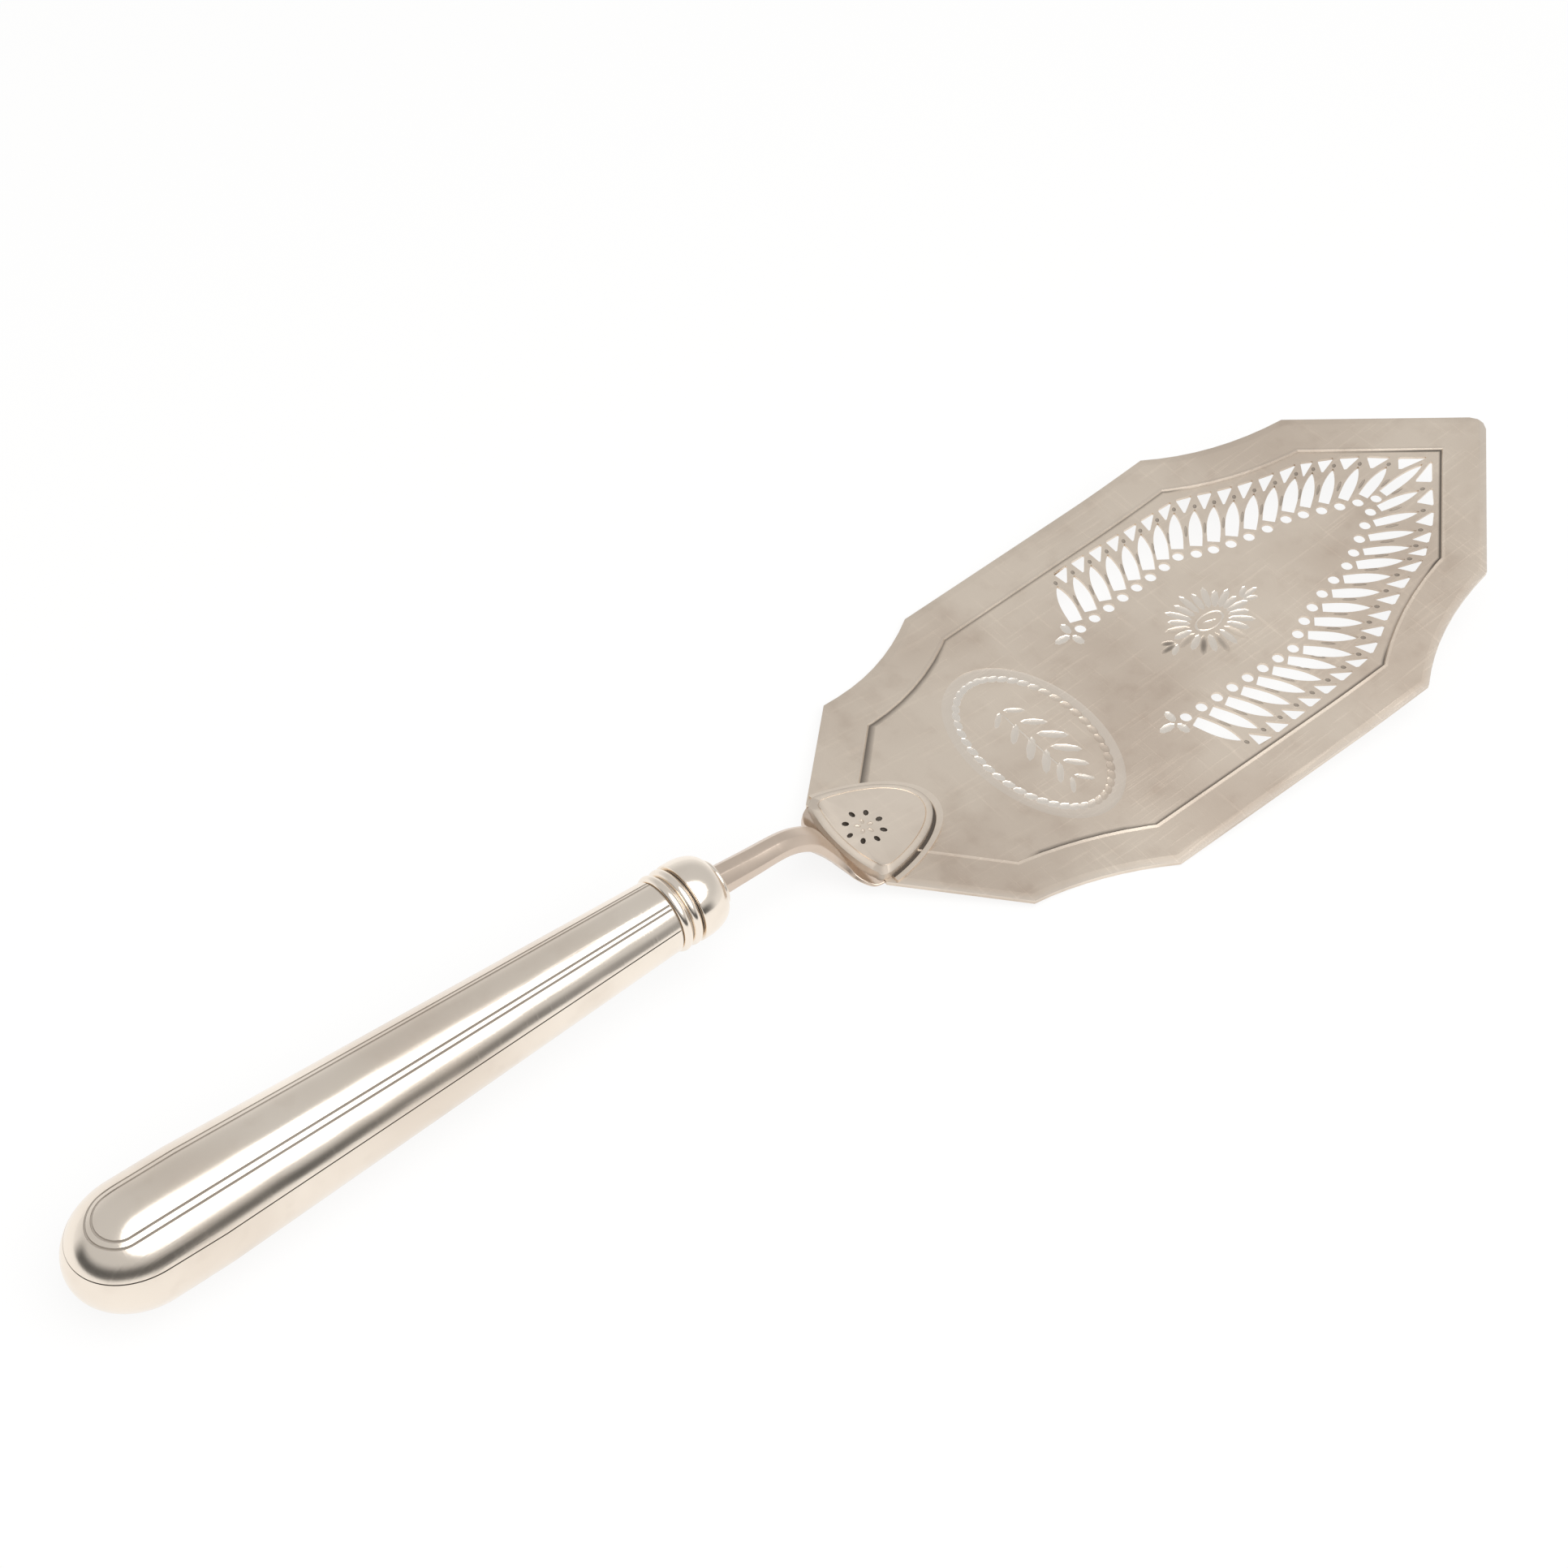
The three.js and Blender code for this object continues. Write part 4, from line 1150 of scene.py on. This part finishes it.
def rose_cuts(cuts, engraving):
    """The rosette: petals round an oval eye, with a spray of three leaves at each end."""
    centre, eye = Vector(engraving.rose_centre), engraving.rose_eye
    inner, outer = Vector(engraving.rose_inner), Vector(engraving.rose_outer)
    # grime here is the painted shade of the petals and of two rear leaves
    polish, grime = engraving.soft_polish, engraving.rose_shade
    for step in range(engraving.rose_petals):
        turn = 2 * math.pi * (step + 0.5) / engraving.rose_petals
        long = step % 2
        root = inner * ray(turn)
        tip = outer * ray(turn) * (1 if long else ROSE_SHORT)
        along = tip - root
        size = (along.length, engraving.rose_petal_width)
        patina = ring_shade_patina(turn, engraving.rose_shade_turn, grime, polish) if long else -polish
        heading = math.atan2(along.y, along.x)
        soft_cut(cuts, engraving, centre + (root + tip) / 2, heading, size, patina)
    ring_gouge(cuts, centre, eye, ROSE_EYE_LINE, engraving.soft_depth, -polish, ROSE_EYE_STEPS)
    mark = (ROSE_MARK_SHARE * eye[0], ROSE_MARK_WIDTH)
    soft_cut(cuts, engraving, centre, ROSE_MARK_TURN, mark, -polish)
    reach = engraving.rose_leaf_reach - outer.x + ROSE_LEAF_GAP
    for side in (1, -1):
        root = centre + Vector((side * (outer.x - ROSE_LEAF_SET), 0))
        for lean in (0, ROSE_LEAF_LEAN, -ROSE_LEAF_LEAN):
            heading = lean if side > 0 else math.pi - lean
            leaf = reach * (ROSE_SIDE_LEAF if lean else 1)
            place = root + ray(heading) * (leaf / 2 + ROSE_LEAF_GAP)
            # Painted shade on two of the rear leaves
            patina = grime if side < 0 and lean >= 0 else -polish
            soft_cut(cuts, engraving, place, heading, (leaf, ROSE_LEAF_WIDTH), patina)


# Leaves of a sprig: the turn in degrees and the share of the length of each, and the stand of all
SPRIG_LEAVES = ((176, 1.0), (84, 0.8), (-84, 0.8))
SPRIG_STAND = 0.6


def sprig_cuts(cuts, engraving):
    """A sprig of three leaves at the rear end of each band."""
    along, aside = engraving.sprig_centre
    for side in (1, -1):
        for turn, share in SPRIG_LEAVES:
            heading = math.radians(turn)
            size = engraving.sprig_leaf * share
            place = Vector((along, aside * side)) + ray(heading) * (SPRIG_STAND * size)
            gouge(cuts, place, heading, (size, engraving.sprig_width), engraving.depth)


def nick_cuts(cuts, band, depth):
    """A nick on each bar of the band, painted dark as shade, and a grimy dot beyond the point of each
    lancet.
    """
    nick = (band.nick_length, band.nick_width)
    dot = (band.dot_length, band.dot_width)
    cells = band_cells(band)
    marks = [(bar, band.nick_start, nick, band.nick_shade) for bar in bars_between(cells)]
    for cell in cells[:-1]:
        marks.append((cell, band.lancet_start + cell.length + band.dot_gap, dot, band.dot_grime))
    for side in (1, -1):
        for cell, out, size, grime in marks:
            place = on_cell(cell, out, 0)
            gouge(cuts, (place.x, side * place.y), side * cell.lean, size, depth, grime)


def cove_cut(cuts, engraving):
    """The shallow burnished cove round the medallion."""
    radii = [radius + engraving.cove_offset for radius in engraving.oval_radii]
    width, depth = engraving.cove_width, engraving.cove_depth
    ring_gouge(cuts, engraving.oval_centre, radii, width, depth, -engraving.cove_polish)


def blade_cuts(settings):
    """Every cut of the field, laid on the bow."""
    engraving = settings.engraving
    cuts = new_work()
    cove_cut(cuts, engraving)
    oval_cuts(cuts, engraving)
    spray_cuts(cuts, engraving)
    rose_cuts(cuts, engraving)
    sprig_cuts(cuts, engraving)
    nick_cuts(cuts, settings.band, engraving.depth)
    lift_on_bow(cuts, settings.blade, field_level(settings.blade))
    return cuts


# Shield and shank

# How fast the apex of the plate's edge grows, and the width and depth of the groove's floor as shares
APEX_GROWTH = 1.4
GROOVE_FLOOR = 0.25
GROOVE_DEPTH = 0.9


def shield_flank(settings, grow):
    """The shield's edge on one side from its flank to its apex, grown all round."""
    shield = settings.shield
    heel = settings.blade.heel[0]
    half = shield.half_width + grow
    apex = Vector((heel + shield.reach + APEX_GROWTH * grow, 0))
    flank = Vector((heel + shield.corner_round, half))
    pull = Vector((heel + shield.flank_pull, half - shield.flank_taper))
    return long_curve(flank, pull, Vector((apex.x, shield.apex_pull + grow)), apex)


def shield_half(settings):
    """The shield's edge on one side, from the middle of its rear to its apex."""
    shield = settings.shield
    heel = settings.blade.heel[0]
    rear = heel - shield.overhang
    flank = shield_flank(settings, 0)
    corner_x = heel - shield.corner_round / 2
    inset = shield.half_width - shield.corner_round
    edge = hollow_curve((rear, 0), (rear, shield.half_width / 2), (corner_x, inset))
    edge += hollow_curve((corner_x, inset), (corner_x, shield.half_width), flank[0])[1:]
    return edge + flank[1:]


def flange_bmesh(settings):
    """The solder flange before the plate, with a groove round the plate's foot painted dark as shade."""
    shield, blade = settings.shield, settings.blade
    bm = new_work()
    edge = shield_flank(settings, shield.flange + shield.groove)
    base = outline_face(bm, [Vector((edge[0].x, 0))] + edge)
    top = raise_face(bm, base, blade.field_drop + shield.flange_thickness)
    rear, half = edge[0]
    top = shrink_face(bm, top, rear, 1 - shield.flange / half, 0)
    floor = GROOVE_FLOOR * shield.groove
    top = shrink_face(bm, top, rear, 1 - floor / half, -GROOVE_DEPTH * shield.flange_thickness)
    # Paint the groove's floor dark as the shade under the plate's edge
    set_shade_and_patina(bm, top.verts, 1)
    return bm


def shield_bmesh(settings):
    """The plate with its wall, a sloping rim and an incised line round its top, on its flange."""
    shield, blade = settings.shield, settings.blade
    flange = mesh_from("flange", flange_bmesh(settings), Matrix.Identity(4))
    bm = new_work()
    sunk = blade.field_drop
    base = outline_face(bm, shield_half(settings))
    top = raise_face(bm, base, sunk + shield.seat + shield.thickness - shield.rim_drop)
    heel = blade.heel[0]
    rear = heel - shield.overhang
    centre = (rear + heel + shield.reach) / 2
    line = shield.line
    # Painted shade on the rim's outer edge and the rear wall
    painted_dark = [vert for vert in bm.verts if vert.co.x < heel] + top.verts[:]
    for width, height in ((shield.rim_width, shield.rim_drop), (line, -line), (line, line)):
        top = shrink_face(bm, top, centre, 1 - width / shield.half_width, height)
    flank = heel + shield.corner_round
    for vert in bm.verts:
        share = min(max((flank - vert.co.x) / (flank - rear), 0), 1)
        share = share * share * (3 - 2 * share)
        above = max(vert.co.z - sunk, 0)
        vert.co.x += share * shield.rear_lean * above
        vert.co.z -= share * (shield.rear_thinning * above if above else shield.rear_skirt)
    set_shade_and_patina(bm, painted_dark, shield.rim_shade)
    inset = shield.half_width - 2 * shield.corner_round
    # Painted shade on the two rear corners
    corners = [vert for vert in bm.verts if vert.co.x < flank and abs(vert.co.y) > inset]
    set_shade_and_patina(bm, corners, shield.corner_shade)
    bm.from_mesh(flange)
    bpy.data.meshes.remove(flange)
    bmesh.ops.recalc_face_normals(bm, faces=bm.faces[:])
    lift_on_bow(bm, blade, blade.thickness - sunk)
    return bm


def shield_cuts(settings):
    """A ring of grimy pricks round a small flower, in the plate's top."""
    shield = settings.shield
    cuts = new_work()
    prick = (shield.prick_length, shield.prick_width)
    petal = (shield.petal_length, shield.petal_width)
    rings = (
        (shield.pricks, shield.prick_ring, prick, shield.prick_depth, shield.prick_bias, 1),
        (shield.petals, shield.petal_ring, petal, shield.petal_depth, 0, shield.petal_grime),
    )
    for number, radius, size, depth, bias, patina in rings:
        for step in range(number):
            turn = 2 * math.pi * step / number
            place = (shield.prick_centre + radius * math.cos(turn), radius * math.sin(turn))
            struck = depth * (1 + bias * (1 - math.cos(turn)) / 2)
            gouge(cuts, place, turn, size, struck, patina)
    lift_on_bow(cuts, settings.blade, settings.blade.thickness + shield.seat + shield.thickness)
    return cuts


# Stations of the crank as shares: run, rise that is left, spread into the palm, thinning to the waist
CRANK = (
    (0, 1, 0, 0),
    (0.3, 0.93, 0, 0.6),
    (0.6, 0.85, 0, 1),
    (0.79, 0.65, 0.05, 1),
    (0.9, 0.39, 0.2, 1),
    (0.965, 0.19, 0.42, 1),
    (1, 0.07, 0.64, 1),
)
# The last two stations, in the palm and at the heel: rise that is left, spread and thinning
PALM = (-0.02, 0.9, 1)
HEEL = (0, 1, 1)

# Steps between two stations, sides of a section, angle from which an edge is eased, and the tang's root
CRANK_STEPS = 7
SHANK_SIDES = 8
EASED_ANGLE = 0.5
TANG_ROOT = 1 * MM
TANG_SHOULDER = 0.2 * MM


def between_rows(rows, steps):
    """Run a smooth curve through rows of numbers."""
    path = []
    last = len(rows) - 1
    for index in range(last):
        before, start = rows[max(index - 1, 0)], rows[index]
        end, after = rows[index + 1], rows[min(index + 2, last)]
        for t in spread(0, 1, steps)[:-1]:
            path.append([
                0.5 * (2 * b + (c - a) * t + (2 * a - 5 * b + 4 * c - d) * t * t
                       + (3 * b - a - 3 * c + d) * t ** 3)
                for a, b, c, d in zip(before, start, end, after)
            ])
    path.append(list(rows[last]))
    return path


def shank_rows(settings):
    """Rows of x, z, half width and half depth from the ferrule to the palm, in the blade's axes."""
    blade, shank, shield = settings.blade, settings.shank, settings.shield
    root = ferrule_point(settings)
    heel = blade.heel[0]
    drop = heel - shield.overhang - shank.crank_back
    palm = root.z - shank.rise
    rows = []
    stations = [(blend(root.x, drop, run), *rest) for run, *rest in CRANK]
    stations += [((drop + heel) / 2, *PALM), (heel, *HEEL)]
    for along, left, widen, thin in stations:
        width = blend(shank.root_width, shank.waist_width, thin) / 2
        depth = blend(shank.root_depth, shank.waist_depth, thin) / 2
        width = blend(width, blade.heel[1] - shield.seat, widen)
        depth = blend(depth, shank.palm_thickness / 2, math.sqrt(widen))
        rows.append((along, palm + shank.rise * left, width, depth))
    return rows


def shank_bmesh(settings):
    """The tang and the cranked bar as one run of sections with eased edges."""
    shank = settings.shank
    tilt = settings.handle.tilt
    root = ferrule_point(settings)
    back = Vector((-math.cos(tilt), 0, math.sin(tilt)))
    tang = (
        (shank.tang_length, shank.tang_tip, shank.tang_tip),
        (TANG_ROOT, shank.tang_width, shank.tang_width),
        (TANG_SHOULDER, shank.root_width, shank.root_depth),
    )
    sections = [section_at(root + back * run, -back, width / 2, depth / 2) for run, width, depth in tang]
    rows = between_rows(shank_rows(settings), CRANK_STEPS)
    for before, row, after in zip(rows, rows[1:], rows[2:] + [rows[-1]]):
        heading = Vector((after[0] - before[0], 0, after[1] - before[1]))
        sections.append(section_at(Vector((row[0], 0, row[1])), heading, row[2], row[3]))
    bm = new_work()
    sweep(bm, sections, SHANK_SIDES)
    bmesh.ops.recalc_face_normals(bm, faces=bm.faces[:])
    long_edges = [edge for edge in bm.edges if edge.is_manifold and edge.calc_face_angle() > EASED_ANGLE]
    bmesh.ops.bevel(
        bm, geom=long_edges, offset=shank.ease, offset_type="OFFSET", segments=2, profile=0.5,
        affect="EDGES", material=-1, clamp_overlap=True,
    )
    return bm


# Handle

def ring_start(handle):
    """Distance back from the ferrule's face to the front ring."""
    return handle.cap_length + handle.seat


def handle_start(handle):
    """Distance back from the ferrule's face to the front of the handle."""
    return ring_start(handle) + 2 * (handle.ring_width + handle.seat)


def butt_start(handle):
    """Distance back from the ferrule's face to the rounded butt."""
    return handle_start(handle) + handle.taper + handle.parallel


# Steps of the handle's shells, its threads and the turned pieces
SHELL_STEPS = 144
TAPER_STEPS = 24
ROUND_STEPS = 28
THREAD_STEPS = 30
THREAD_SIDES = 6
EASE_STEPS = 5
REED_STEPS = 16
COLLAR_STEPS = 8
CAP_EASE = 0.25 * MM


def handle_line(handle, inset):
    """The handle's outer line from its front to the tip of the butt, drawn in by an inset."""
    start, butt = handle_start(handle), butt_start(handle)
    rear = handle.rear_radius - inset
    taper = spread(start, start + handle.taper, TAPER_STEPS)
    line = [(back, radius_at(handle, back) - inset) for back in taper]
    line += arc((butt, 0), (handle.butt - inset, rear), math.pi / 2, 0, ROUND_STEPS)
    line[-1] = (line[-1][0], 0)
    return line


def radius_at(handle, back):
    """Outer radius of the handle at a distance back from the ferrule's face."""
    start, butt = handle_start(handle), butt_start(handle)
    if back > butt:
        share = min((back - butt) / handle.butt, 1)
        return handle.rear_radius * math.sqrt(1 - share * share)
    share = min(max((back - start) / handle.taper, 0), 1)
    return blend(handle.front_radius, handle.rear_radius, share)


def seam_plane(handle, offset):
    """A point and the upward normal of the seam's plane, in the handle's axes."""
    start, butt = handle_start(handle), butt_start(handle)
    front = Vector((-start, 0, handle.seam_front + offset))
    rear = Vector((-butt, 0, handle.seam_rear + offset))
    along = (front - rear).normalized()
    return front, Vector((-along.z, 0, along.x))


def shell_bmesh(handle, upper):
    """One stamped shell: the tube on one side of the seam."""
    bm = turned(handle_line(handle, 0) + handle_line(handle, handle.wall)[::-1], SHELL_STEPS)
    half = handle.seam_gap / 2
    point, normal = seam_plane(handle, half if upper else -half)
    made = cut_plane(bm, point, normal, clear_inner=upper, clear_outer=not upper)
    rim = [item for item in made["geom_cut"] if isinstance(item, bmesh.types.BMEdge)]
    bmesh.ops.triangle_fill(bm, use_beauty=True, use_dissolve=False, edges=rim)
    bmesh.ops.recalc_face_normals(bm, faces=bm.faces[:])
    return bm


def thread_path(handle, turn_angle, end):
    """Points of a thread: along one side, round before the butt and back."""
    start = handle_start(handle) - MM
    bend = butt_start(handle) + handle.thread_turn
    run = [(back, -turn_angle) for back in spread(start, bend, THREAD_STEPS)]
    run += [
        (bend + end * math.sin(turn), -turn_angle * math.cos(turn))
        for turn in spread(0, math.pi, ROUND_STEPS)[1:-1]
    ]
    run += [(back, turn_angle) for back in spread(bend, start, THREAD_STEPS)]
    points = []
    for back, turn in run:
        radius = radius_at(handle, back)
        points.append(Vector((-back, radius * math.sin(turn), radius * math.cos(turn))))
    return points


def thread_cuts(handle):
    """The two engraved threads of the upper shell."""
    cuts = new_work()
    half = handle.thread_width / 2
    gap = handle.rear_radius * (handle.thread_outer - handle.thread_inner)
    lines = ((handle.thread_outer, handle.thread_end), (handle.thread_inner, handle.thread_end - gap))
    for turn, end in lines:
        points = thread_path(handle, turn, end)
        sections = []
        for before, point, after in zip(points[:1] + points, points, points[1:] + points[-1:]):
            sections.append(section_at(point, after - before, half, half))
        sweep(cuts, sections, THREAD_SIDES)
    set_shade_and_patina(cuts, cuts.verts, handle.grime)
    return cuts


def cap_profile(handle):
    """Section of the domed cap with its rim, its sleeve and the bore for the tang."""
    dome_length = handle.cap_length - handle.cap_rim
    radii = (dome_length, handle.cap_radius - handle.cap_front_radius)
    sleeve_end = handle.cap_length + handle.sleeve_length
    round_end = (handle.cap_length - CAP_EASE, handle.cap_radius - CAP_EASE)
    profile = [(0, handle.bore)]
    profile += arc((dome_length, handle.cap_front_radius), radii, math.pi, math.pi / 2, ROUND_STEPS)
    profile += arc(round_end, (CAP_EASE, CAP_EASE), math.pi / 2, 0, EASE_STEPS)
    profile += [(handle.cap_length, handle.sleeve_radius), (sleeve_end, handle.sleeve_radius)]
    profile.append((sleeve_end, handle.bore))
    return profile


def ring_profile(handle, start):
    """Section of a ring: one round reed on a narrow seat."""
    half = handle.ring_width / 2
    bore = handle.sleeve_radius + handle.seat
    foot = handle.ring_radius - half
    profile = [(start - handle.seat / 2, bore), (start - handle.seat / 2, foot)]
    profile += arc((start + half, foot), (half, half), math.pi, 0, REED_STEPS)
    end = start + handle.ring_width + handle.seat / 2
    return profile + [(end, foot), (end, bore)]


def collar_profile(handle):
    """Section of the collar round the shank's root."""
    ease = handle.collar_width / 2
    front = -handle.collar_width
    profile = [(front, handle.collar_bore)]
    middle = (front + ease, handle.collar_radius - ease)
    profile += arc(middle, (ease, ease), math.pi, math.pi / 2, COLLAR_STEPS)
    profile += [(0, handle.collar_radius), (0, handle.collar_bore)]
    return profile


# Operators

class FishSliceOperator:
    """What every operator here shares: its options and its finishes."""

    bl_options = {"REGISTER", "UNDO"}

    @staticmethod
    def finish(name):
        """The finish of that name, made once."""
        if name not in bpy.data.materials:
            recipe = silver if name in SILVERS else pitch_finish
            recipe(name, bpy.context.scene.fish_slice.finish)
        return bpy.data.materials[name]


# The camera's sensor in millimetres and its near limit in metres
SENSOR = 36
NEAR_CLIP = 0.01

# Heights at which the wall's light changes, and the sides and heights at which the curtain ends
HORIZON_BAND = (0.0, 0.55)
CURTAIN_SWEEP = (0.0, 0.45)
CURTAIN_TOP = (0.22, 0.46)


class FISHSLICE_OT_stage(FishSliceOperator, bpy.types.Operator):
    """Set up the camera, the pale floor and the soft studio light"""

    bl_idname = "fish_slice.stage"
    bl_label = "Set Stage"

    def execute(self, context):
        stage = context.scene.fish_slice.stage
        context.scene.view_settings.view_transform = "Standard"
        self.add_camera(context.scene, stage)
        self.add_floor(stage)
        self.add_softbox(stage)
        self.add_studio(context.scene, stage)
        return {"FINISHED"}

    @staticmethod
    def add_camera(scene, stage):
        lens = bpy.data.cameras.new("camera")
        lens.lens = stage.lens
        lens.sensor_width = SENSOR
        lens.clip_start = NEAR_CLIP
        camera = new_object("camera", lens)
        place, target = Vector(stage.camera_place), Vector(stage.camera_target)
        level = (target - place).to_track_quat("-Z", "Y")
        camera.rotation_mode = "QUATERNION"
        camera.location = place
        camera.rotation_quaternion = level @ Quaternion((0, 0, 1), stage.camera_roll)
        scene.camera = camera

    @staticmethod
    def add_floor(stage):
        bm = new_work()
        bmesh.ops.create_grid(bm, x_segments=1, y_segments=1, size=stage.floor_size / 2)
        mesh = mesh_from("floor", bm, Matrix.Identity(4))
        mesh.materials.append(floor_finish(stage))
        floor = new_object("floor", mesh)

    @staticmethod
    def add_softbox(stage):
        lamp = bpy.data.lights.new("softbox", "AREA")
        lamp.shape = "DISK"
        lamp.size = stage.box_size
        lamp.energy = stage.box_power
        softbox = new_object("softbox", lamp)
        softbox.location = stage.box_place
        softbox.rotation_euler = (-Vector(stage.box_place)).to_track_quat("-Z", "Y").to_euler()

    @staticmethod
    def add_studio(scene, stage):
        world = bpy.data.worlds.new("studio")
        world.use_nodes = True
        scene.world = world
        nodes = Nodes(world.node_tree)
        look = nodes.add("ShaderNodeTexCoord", output="Generated")
        height = nodes.add("ShaderNodeSeparateXYZ", {}, {0: look}, output="Z")
        towards = Vector(stage.camera_place).xy.normalized().to_3d()
        facing = nodes.add(
            "ShaderNodeVectorMath", {"operation": "DOT_PRODUCT"}, {0: look, 1: towards}, output="Value"
        )
        low = 1 - height.between(*HORIZON_BAND)
        wall = stage.wall_light + low * (stage.horizon_light - stage.wall_light)
        curtain = facing.between(*CURTAIN_SWEEP) * (1 - height.between(*CURTAIN_TOP))
        light = wall - curtain * (wall - stage.curtain_light)
        camera = nodes.add("ShaderNodeLightPath", output="Is Camera Ray")
        seen = light + camera * (stage.backdrop_light - light)
        studio = nodes.add("ShaderNodeBackground", {}, {"Color": seen, "Strength": 1.0})
        nodes.end(studio, "World")


class FISHSLICE_OT_blade(FishSliceOperator, bpy.types.Operator):
    """Model the bowed, pierced and engraved blade"""

    bl_idname = "fish_slice.blade"
    bl_label = "Make Blade"

    def execute(self, context):
        settings = context.scene.fish_slice
        mesh = mesh_from("blade", blade_bmesh(settings), blade_place())
        blade = add_piece("engraved_blade", mesh, self.finish("satin_blade"), "blade")
        carve(blade, blade_cuts(settings), blade_place())
        flatten_sheet(blade.data, settings.blade, blade_place())
        return {"FINISHED"}


class FISHSLICE_OT_shield(FishSliceOperator, bpy.types.Operator):
    """Model the pricked shield plate over the heel"""

    bl_idname = "fish_slice.shield"
    bl_label = "Make Shield"

    def execute(self, context):
        settings = context.scene.fish_slice
        mesh = mesh_from("shield", shield_bmesh(settings), blade_place())
        polish = self.finish("satin_shield")
        shield = add_piece("pricked_shield", mesh, polish, "heel_shield")
        carve(shield, shield_cuts(settings), blade_place())
        flatten_sheet(shield.data, settings.blade, blade_place())
        return {"FINISHED"}


class FISHSLICE_OT_shank(FishSliceOperator, bpy.types.Operator):
    """Model the cranked shank with its tang"""

    bl_idname = "fish_slice.shank"
    bl_label = "Make Shank"

    def execute(self, context):
        settings = context.scene.fish_slice
        mesh = mesh_from("shank", shank_bmesh(settings), blade_place())
        add_piece("cranked_shank", mesh, self.finish("worn_shank"), "shank")
        return {"FINISHED"}


class FISHSLICE_OT_ferrule(FishSliceOperator, bpy.types.Operator):
    """Turn the domed cap, the two reeded rings and the shank's collar"""

    bl_idname = "fish_slice.ferrule"
    bl_label = "Make Ferrule"

    def execute(self, context):
        settings = context.scene.fish_slice
        handle = settings.handle
        front = ring_start(handle)
        rear = front + handle.ring_width + handle.seat
        turnings = (
            ("domed_cap", "ferrule_cap", cap_profile(handle)),
            ("front_reed", "reeded_ring_front", ring_profile(handle, front)),
            ("rear_reed", "reeded_ring_rear", ring_profile(handle, rear)),
            ("root_collar", "shank_collar", collar_profile(handle)),
        )
        for name, node, profile in turnings:
            bm = turned(profile)
            # Paint shade between the rings, behind the cap
            behind_cap = [vert for vert in bm.verts if vert.co.x < WELD - handle.cap_length]
            shaded_ring_feet = [vert for vert in behind_cap if vert.co.yz.length < handle.ring_shade_radius]
            set_shade_and_patina(bm, shaded_ring_feet, handle.grime)
            mesh = mesh_from(name, bm, handle_place(settings))
            add_piece(name, mesh, self.finish("polished_handle"), node)
        return {"FINISHED"}


class FISHSLICE_OT_handle(FishSliceOperator, bpy.types.Operator):
    """Model the two shells of the handle, engrave the threads and finish the pitch inside"""

    bl_idname = "fish_slice.handle"
    bl_label = "Make Handle"

    def execute(self, context):
        settings = context.scene.fish_slice
        handle = settings.handle
        place = handle_place(settings)
        polish = self.finish("polished_handle")
        upper = mesh_from("upper_shell", shell_bmesh(handle, True), place)
        threaded = add_piece("threaded_shell", upper, polish, "handle_upper_shell")
        carve(threaded, thread_cuts(handle), place)
        lower = mesh_from("lower_shell", shell_bmesh(handle, False), place)
        add_piece("plain_shell", lower, polish, "handle_lower_shell")
        filling = frame["nodes"]["pitch_filling"]
        filling.data.materials.clear()
        filling.data.materials.append(self.finish("dark_pitch"))
        return {"FINISHED"}


class FISHSLICE_PT_panel(bpy.types.Panel):
    """Lists the pieces of the slice and their settings"""

    bl_label = "Fish Slice"
    bl_idname = "FISHSLICE_PT_panel"
    bl_space_type = "VIEW_3D"
    bl_region_type = "UI"
    bl_category = "Fish Slice"

    @staticmethod
    def own_names(group):
        """Names of a group's own settings."""
        return [name for name in group.bl_rna.properties.keys() if name not in {"rna_type", "name"}]

    def draw(self, context):
        settings = context.scene.fish_slice
        for operator in OPERATORS:
            self.layout.operator(operator.bl_idname)
        for name in self.own_names(settings):
            box = self.layout.box()
            box.label(text=name.capitalize())
            group = getattr(settings, name)
            for value in self.own_names(group):
                box.prop(group, value)


OPERATORS = (
    FISHSLICE_OT_stage,
    FISHSLICE_OT_blade,
    FISHSLICE_OT_shield,
    FISHSLICE_OT_shank,
    FISHSLICE_OT_ferrule,
    FISHSLICE_OT_handle,
)
CLASSES = (
    FishSliceBlade,
    FishSliceBand,
    FishSliceEngraving,
    FishSliceShield,
    FishSliceShank,
    FishSliceHandle,
    FishSliceFinish,
    FishSliceStage,
    FishSliceSettings,
    *OPERATORS,
    FISHSLICE_PT_panel,
)


def register():
    for item in CLASSES:
        bpy.utils.register_class(item)
    bpy.types.Scene.fish_slice = PointerProperty(type=FishSliceSettings)


def unregister():
    del bpy.types.Scene.fish_slice
    for item in reversed(CLASSES):
        bpy.utils.unregister_class(item)


def main():
    register()
    bpy.ops.fish_slice.stage()
    bpy.ops.fish_slice.blade()
    bpy.ops.fish_slice.shield()
    bpy.ops.fish_slice.shank()
    bpy.ops.fish_slice.ferrule()
    bpy.ops.fish_slice.handle()


if __name__ == "__main__":
    main()
